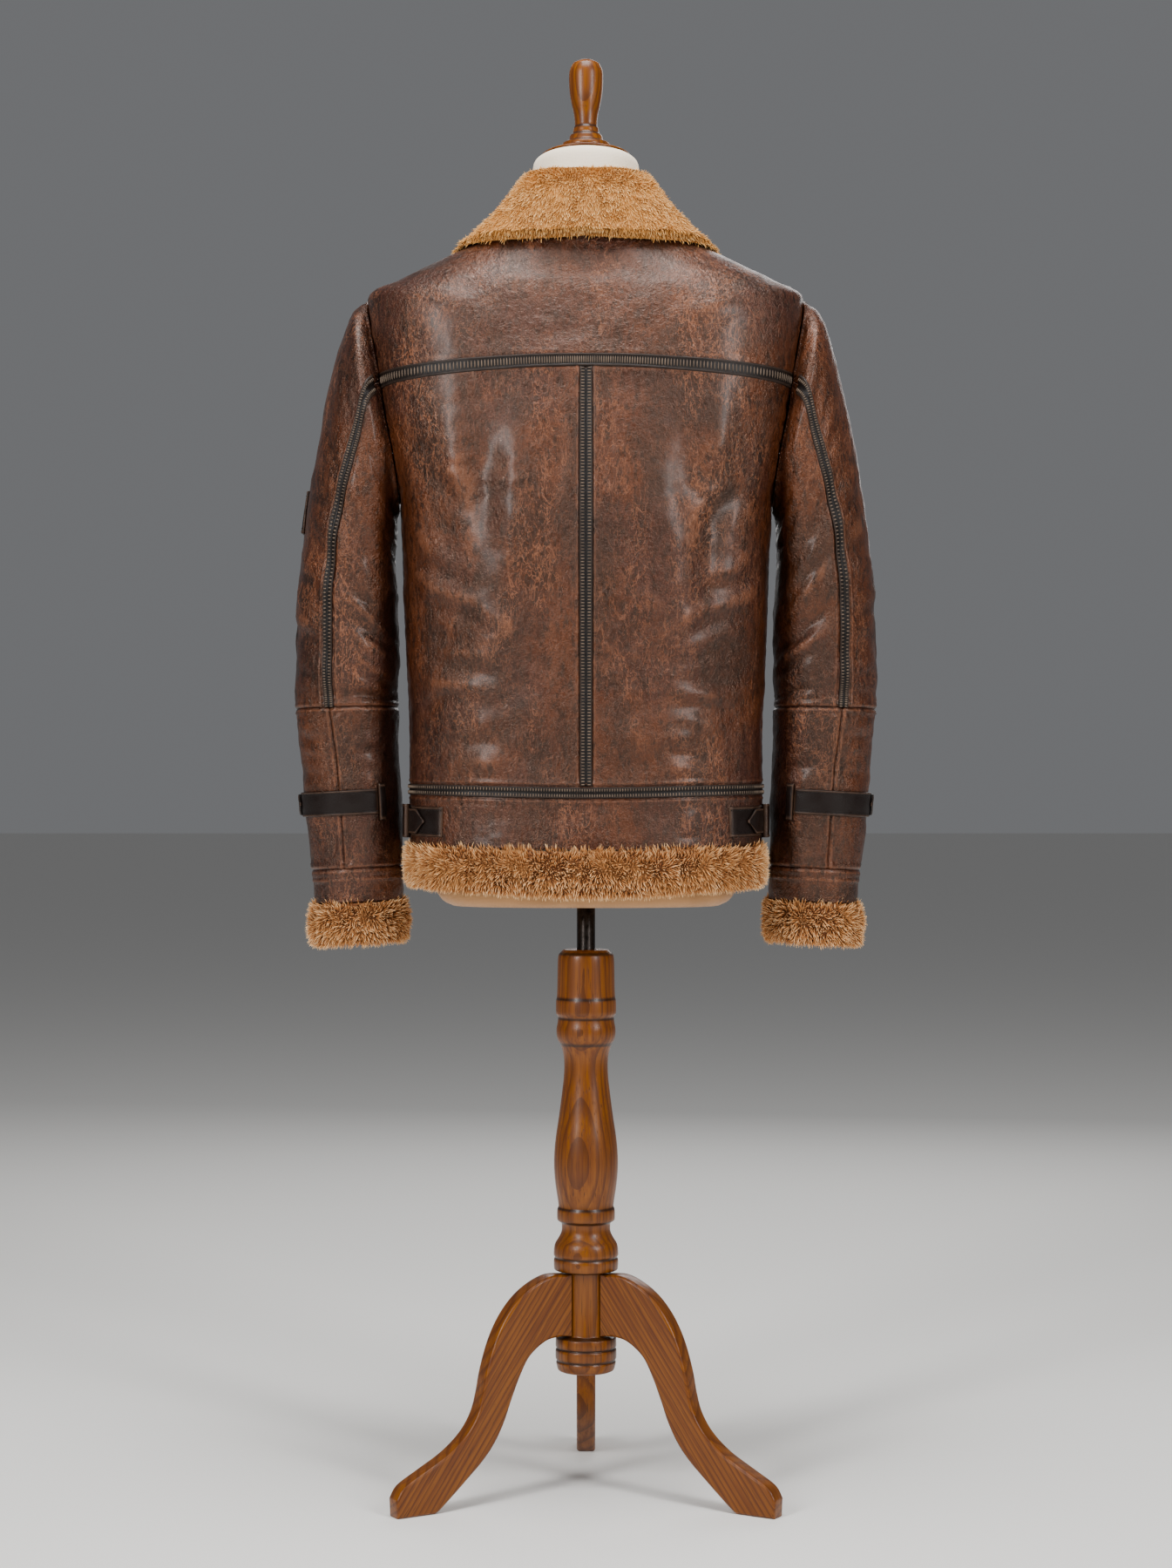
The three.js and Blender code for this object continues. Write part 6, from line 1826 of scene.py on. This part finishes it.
# The neck's rings: height, half width and half depth
NECK_RINGS = ((1306, 66, 57), (1325, 59, 55), (1345, 55.5, 54), (1362, 54, 53), (1367, 50, 49))
NECK_TILT = 0.13
# The cap on the neck: bottom and top heights, half width and half depth
CAP_BOTTOM, CAP_TOP, CAP_HALF, CAP_DEPTH = 1367.4, 1374.0, 46.0, 44.0

# Turned outlines: height and radius
COLUMN_PROFILE = (
    (557, 23), (552, 28.2), (545, 29.1), (508, 29.6), (505, 30.9), (491, 30.9), (488, 28.6),
    (482, 29), (475, 30.6), (465, 29.8), (459, 26), (447, 22.4), (428, 22.4), (406, 25.1),
    (385, 27.8), (363, 31.4), (341, 33.2), (320, 32.3), (293, 28), (290, 29.8), (279, 29.8),
    (276, 25), (267, 24.8), (260, 28.4), (254, 32.6), (243, 33.4), (241, 31.8), (238, 33.4),
    (228, 32.8), (226, HUB_RADIUS), (161, HUB_RADIUS), (159, 31), (149, 31.4), (148, 29.6),
    (146, 31.4), (137, 31.4), (135, 29.6), (133, 31), (125, 29), (123, 24),
)
FINIAL_PROFILE = (
    (1381, 25), (1386, 24), (1388, 17.6), (1394, 16.4), (1396, 13.4), (1401, 13), (1404, 11.2),
    (1415, 12), (1426, 14.8), (1437, 16.8), (1452, 17.6), (1461, 17.2), (1468, 13.6), (1471.5, 7),
)
FINIAL_TOP = 1472.5
# Heights of the turned grooves, darkened by painted shade
COLUMN_GROOVES = (553, 506.5, 486.5, 460, 291.5, 277.5, 241, 227, 160, 148, 135.5)
FINIAL_GROOVES = (1387, 1395, 1402.5)

# A leg's outline: distance from the column's axis and height
LEG_UPPER = (
    (45, 226), (66, 218), (84, 205), (99, 187), (111, 164), (120, 136), (125, 112), (131, 93),
    (143, 75), (163, 58), (190, 43), (213, 30), (221, 18),
)
LEG_LOWER = (
    (173, 3), (160, 14), (141, 31), (124, 47), (111, 63), (100, 83), (91, 106), (81, 129),
    (70, 147), (52, 160), (36, 163),
)
LEG_TOE, LEG_HEEL = (220, 0), (178, 0)


@dataclass
class Form:
    """The limbless form inside the coat: its cover, base, neck cap and finial."""

    finishes: Finishes
    around: int = 96

    def build(self) -> None:
        """Makes the form's pieces."""
        turns = np.linspace(0, 360, self.around, endpoint=False)
        rings = [self.level_ring(turns, FORM_BASE_TOP + SEAM_GAP, 1)]
        rings += [self.ring(turns, level, 0) for level in FORM_LEVELS]
        rings += [self.neck(turns, half, depth, z, NECK_TILT) for z, half, depth in NECK_RINGS]
        cover = loft("form_cover", spline_stack(np.stack(rings), 3))
        self.finishes.settle(cover, Slot.COVER, "form_body")
        self.base(turns)
        rows = (
            (CAP_HALF - 2, CAP_DEPTH - 2, CAP_BOTTOM, NECK_TILT),
            (CAP_HALF, CAP_DEPTH, CAP_BOTTOM + 2, NECK_TILT),
            (CAP_HALF - 1, CAP_DEPTH - 1, CAP_TOP - 2, NECK_TILT),
            (CAP_HALF * 0.7, CAP_DEPTH * 0.7, CAP_TOP + 2, NECK_TILT / 2),
            (26, 26, FINIAL_PROFILE[0][0] - SEAM_GAP, 0),
        )
        cap = loft("neck_cap_oak", spline_stack(np.stack([self.neck(turns, *row) for row in rows]), 4))
        wooden(cap, np.array([1, 0, 0]), UP)
        self.finishes.settle(cap, Slot.OAK, "neck_cap")
        profile = [(FINIAL_PROFILE[0][0], 0), *FINIAL_PROFILE, (FINIAL_TOP, 0)]
        finial = turned("finial_oak", profile, 64)
        wooden(finial, UP, np.array([0, 1.0, 0]), FINIAL_GROOVES)
        self.finishes.settle(finial, Slot.OAK, "finial")

    def base(self, turns: Array) -> None:
        """Makes the form's base, a cloth-covered board with a socket for the pole."""
        levels = [self.level_ring(turns, z, inset) for z, inset in (
            (FORM_BOTTOM, 16), (FORM_BOTTOM + 5, 6), (FORM_BOTTOM + 14, 0), (FORM_BASE_TOP, 0))]
        stack = spline_stack(np.stack(levels), 4)
        rim = unit(stack[0] * (1, 1, 0))

        def bore(radius: float, z: float) -> Array:
            return rim * radius + UP * z

        top = POLE_TOP + SEAM_GAP
        rings = [bore(0.02, FORM_BASE_TOP), *stack[::-1], bore(POLE_BORE_RADIUS, FORM_BOTTOM),
                 bore(POLE_BORE_RADIUS, top), bore(0.02, top)]
        piece = loft("form_base_cloth", np.stack(rings))
        self.finishes.settle(piece, Slot.BASE, "form_base")

    @staticmethod
    def ring(turns: Array, level: float, extra: float) -> Array:
        """One ring of the form at a level of the coat."""
        normal = Body.normal(turns, level)
        if level < ARMHOLE_BOTTOM:
            normal = unit(normal * (1, 1, 0))
        return Body.point(turns, level) - normal * (FORM_ROWS.read("inset", level) + extra)

    @classmethod
    def level_ring(cls, turns: Array, z: float, extra: float) -> Array:
        """A flat ring at the form's foot."""
        points = cls.ring(turns, FORM_BASE_TOP, extra)
        points[:, 2] = z
        return points

    @staticmethod
    def neck(turns: Array, half: float, depth: float, z: float, tilt: float) -> Array:
        """A tilted ring of the neck."""
        x, y = half * np.sin(np.radians(turns)), -depth * np.cos(np.radians(turns))
        return np.stack([x, y, z - y * tilt], -1)


def wooden(piece: Piece, grain: Array, layers: Array, grooves: Sequence[float] = ()) -> None:
    """Stores wood coordinates in metres and how much painted shade darkens each point.

    Args:
        piece: the wooden piece.
        grain: the way of the fibres, which becomes z.
        layers: the way across the yearly layers, which becomes y.
        grooves: heights of grooves darkened by painted shade, in mm.
    """
    count = len(piece.data.vertices)
    places = np.zeros(count * 3)
    piece.data.vertices.foreach_get("co", places)
    places = places.reshape(-1, 3)
    along = unit(np.asarray(grain, float))
    depth = unit(layers - along * (layers @ along))
    side = np.cross(depth, along)
    attribute(piece, "grain", np.stack([places @ side, places @ depth, places @ along], -1))
    # Painted shade: a dark band about each groove's height
    heights = places[:, 2, None] / MM - np.array([*grooves, 1e4])
    attribute(piece, "wear", bump(heights, 1.7).max(1))


def turned(name: str, profile: Sequence[tuple[float, float]], segments: int) -> Piece:
    """A body turned from heights and radii, with gentle bends smoothed and sharp corners broken."""
    line = np.array(profile, float)
    for corner in (0.9, 0.3):
        step = np.diff(line, axis=0)
        length = np.linalg.norm(step, axis=1)
        bend = np.degrees(np.arccos(np.clip((unit(step[1:]) * unit(step[:-1])).sum(1), -1, 1)))
        reach = np.where(bend < 32, 1e3, corner)
        reach = np.concatenate([[1e3], reach, [1e3]])
        near = np.minimum(0.25, reach[:-1] / length)[:, None]
        far = np.minimum(0.25, reach[1:] / length)[:, None]
        cut = np.stack([mix(line[:-1], line[1:], near), mix(line[1:], line[:-1], far)], 1)
        line = np.concatenate([line[:1], cut.reshape(-1, 2), line[-1:]])
    line[:, 1] = np.maximum(line[:, 1], 0.02)
    angle = np.linspace(0, 2 * np.pi, segments, endpoint=False)
    around = np.stack([np.cos(angle), np.sin(angle), 0 * angle], -1)
    rings = around[None] * line[:, 1, None, None] + UP * line[:, 0, None, None]
    piece = loft(name, rings)
    piece.data.set_sharp_from_angle(angle=math.radians(40))
    return piece


@dataclass
class Stand:
    """The oak column, its three legs and the steel pole."""

    finishes: Finishes

    def build(self) -> None:
        """Makes the stand's pieces."""
        floor, top, bottom = POLE_BOTTOM - SEAM_GAP, COLUMN_PROFILE[0][0], COLUMN_PROFILE[-1][0]
        bore = [(floor, 0), (floor, POLE_BORE_RADIUS), (top, POLE_BORE_RADIUS)]
        column = turned("column_oak", [*bore, *COLUMN_PROFILE, (bottom, 0)], 96)
        wooden(column, UP, np.array([0.12, 1.0, 0]), COLUMN_GROOVES)
        self.finishes.settle(column, Slot.OAK, "column", body="stand")
        ends = [(POLE_BOTTOM, 0), (POLE_BOTTOM, POLE_RADIUS), (POLE_TOP, POLE_RADIUS), (POLE_TOP, 0)]
        pole = turned("pole_steel", ends, 48)
        self.finishes.settle(pole, Slot.POLE, "pole", body="pole")
        for number, turn in enumerate(LEG_TURNS, 1):
            self.leg(number, turn)

    def leg(self, number: int, turn: float) -> None:
        """Makes one leg: a board with rounded edges."""
        face = HUB_RADIUS + SEAM_GAP
        upper = self.open_spline([(face, LEG_UPPER[0][1] - 1), *LEG_UPPER], 5)
        lower = self.open_spline([LEG_HEEL, *LEG_LOWER], 5)
        outline = np.concatenate([upper, [LEG_TOE], lower, [(face, LEG_LOWER[-1][1])]])
        after, before = np.roll(outline, -1, 0) - outline, outline - np.roll(outline, 1, 0)
        way = unit(unit(after) + unit(before))
        inward = np.stack([way[:, 1], -way[:, 0]], -1)
        near_hub = smooth(outline[:, 0], face + 1, face + 8)[:, None]
        layers = []
        for height, inset in ((-10, 2.4), (-9.3, 0.9), (-8, 0.2), (-6.5, 0), (6.5, 0), (8, 0.2),
                              (9.3, 0.9), (10, 2.4)):
            flat = outline + inward * inset * near_hub
            flat[:, 1] = np.maximum(flat[:, 1], 0)
            thick = np.full((len(flat), 1), height * LEG_WALL / 20)
            layers.append(np.concatenate([thick, flat], 1))
        angle = math.radians(turn)
        spin = np.array([[math.cos(angle), -math.sin(angle), 0], [math.sin(angle), math.cos(angle), 0],
                         [0, 0, 1]])
        rings = np.stack(layers) @ spin.T
        count, size = rings.shape[:2]
        faces = ring_faces(count, size, False).tolist()
        faces += [list(range(size))[::-1], list(range((count - 1) * size, count * size))]
        name = f"leg_{number}_oak"
        leg = mesh_object(name, rings.reshape(-1, 3), faces)
        leg.data.flip_normals()
        leg.data.set_sharp_from_angle(angle=math.radians(38))
        along = spin @ np.array([0, 0.585, -0.811])
        across = spin @ np.array([0.25, 0.811, 0.585])
        wooden(leg, along, across)
        self.finishes.settle(leg, Slot.OAK, f"leg_{number}", body="stand")

    @staticmethod
    def open_spline(points: Sequence[tuple[float, float]], per: int) -> Array:
        """Points on a smooth open line through the given ones."""
        return spline_stack(np.array(points, float)[:, None], per)[:, 0]


# Studio


@dataclass
class Studio:
    """Floor, lights and camera."""

    lens: float = 66.96
    distance: float = 3.0
    eye: float = 0.727

    def build(self) -> None:
        """Sets up the camera, floor and lights."""
        camera = linked("camera", bpy.data.cameras.new("camera"))
        camera.data.lens = self.lens
        camera.data.sensor_width = 36
        camera.location = (0, FRAME_Y * MM - self.distance, self.eye)
        camera.rotation_euler = (math.radians(90), 0, 0)
        bpy.context.scene.camera = camera
        size = 40.0
        floor = bpy.data.meshes.new("floor")
        corners = [(-size, -size, 0), (size, -size, 0), (size, size, 0), (-size, size, 0)]
        floor.from_pydata(corners, [], [(0, 1, 2, 3)])
        floor.materials.append(finish("pale_floor", lambda g: {
            "Base Color": colour("eeece8"), "Roughness": 0.9, "Specular IOR Level": 0.1}))
        linked("floor", floor)
        world = bpy.data.worlds.new("studio")
        world.use_nodes = True
        inputs = world.node_tree.nodes["Background"].inputs
        inputs["Color"].default_value = colour("e6e8ec")
        inputs["Strength"].default_value = 0.2
        bpy.context.scene.world = world
        self.lamp("key", (-1.55, -2.0, 1.7), 0.4, 1.5, 60)
        self.lamp("fill", (1.65, -1.9, 1.7), 0.4, 1.5, 50)
        self.lamp("top", (0, -0.5, 3.0), 1.2, 1.2, 66)
        self.lamp("rear", (0.4, 2.6, 2.0), 1.6, 1.6, 24)

    @staticmethod
    def lamp(name: str, place: tuple[float, float, float], width: float, height: float,
             power: float) -> None:
        """Adds one soft light that looks at the coat."""
        data = bpy.data.lights.new(name, "AREA")
        data.shape = "RECTANGLE"
        data.energy, data.size, data.size_y = power, width, height
        lamp = linked(name, data)
        lamp.location = place
        aim = Vector((0, FRAME_Y * MM, 0.95)) - Vector(place)
        lamp.rotation_euler = aim.to_track_quat("-Z", "Y").to_euler()


def main() -> None:
    """Builds the studio, the stand, the form and the coat."""
    logging.basicConfig(level=logging.INFO, format="%(name)s: %(message)s")
    Studio().build()
    finishes = Finishes()
    Stand(finishes).build()
    Form(finishes).build()
    CoatBody(finishes).build()
    for word, side in SIDES:
        Sleeve(finishes, word, side).build()
    FurTrim(finishes).build()
    Trims(finishes).build()
    Zip(finishes).build()


if __name__ == "__main__":
    main()
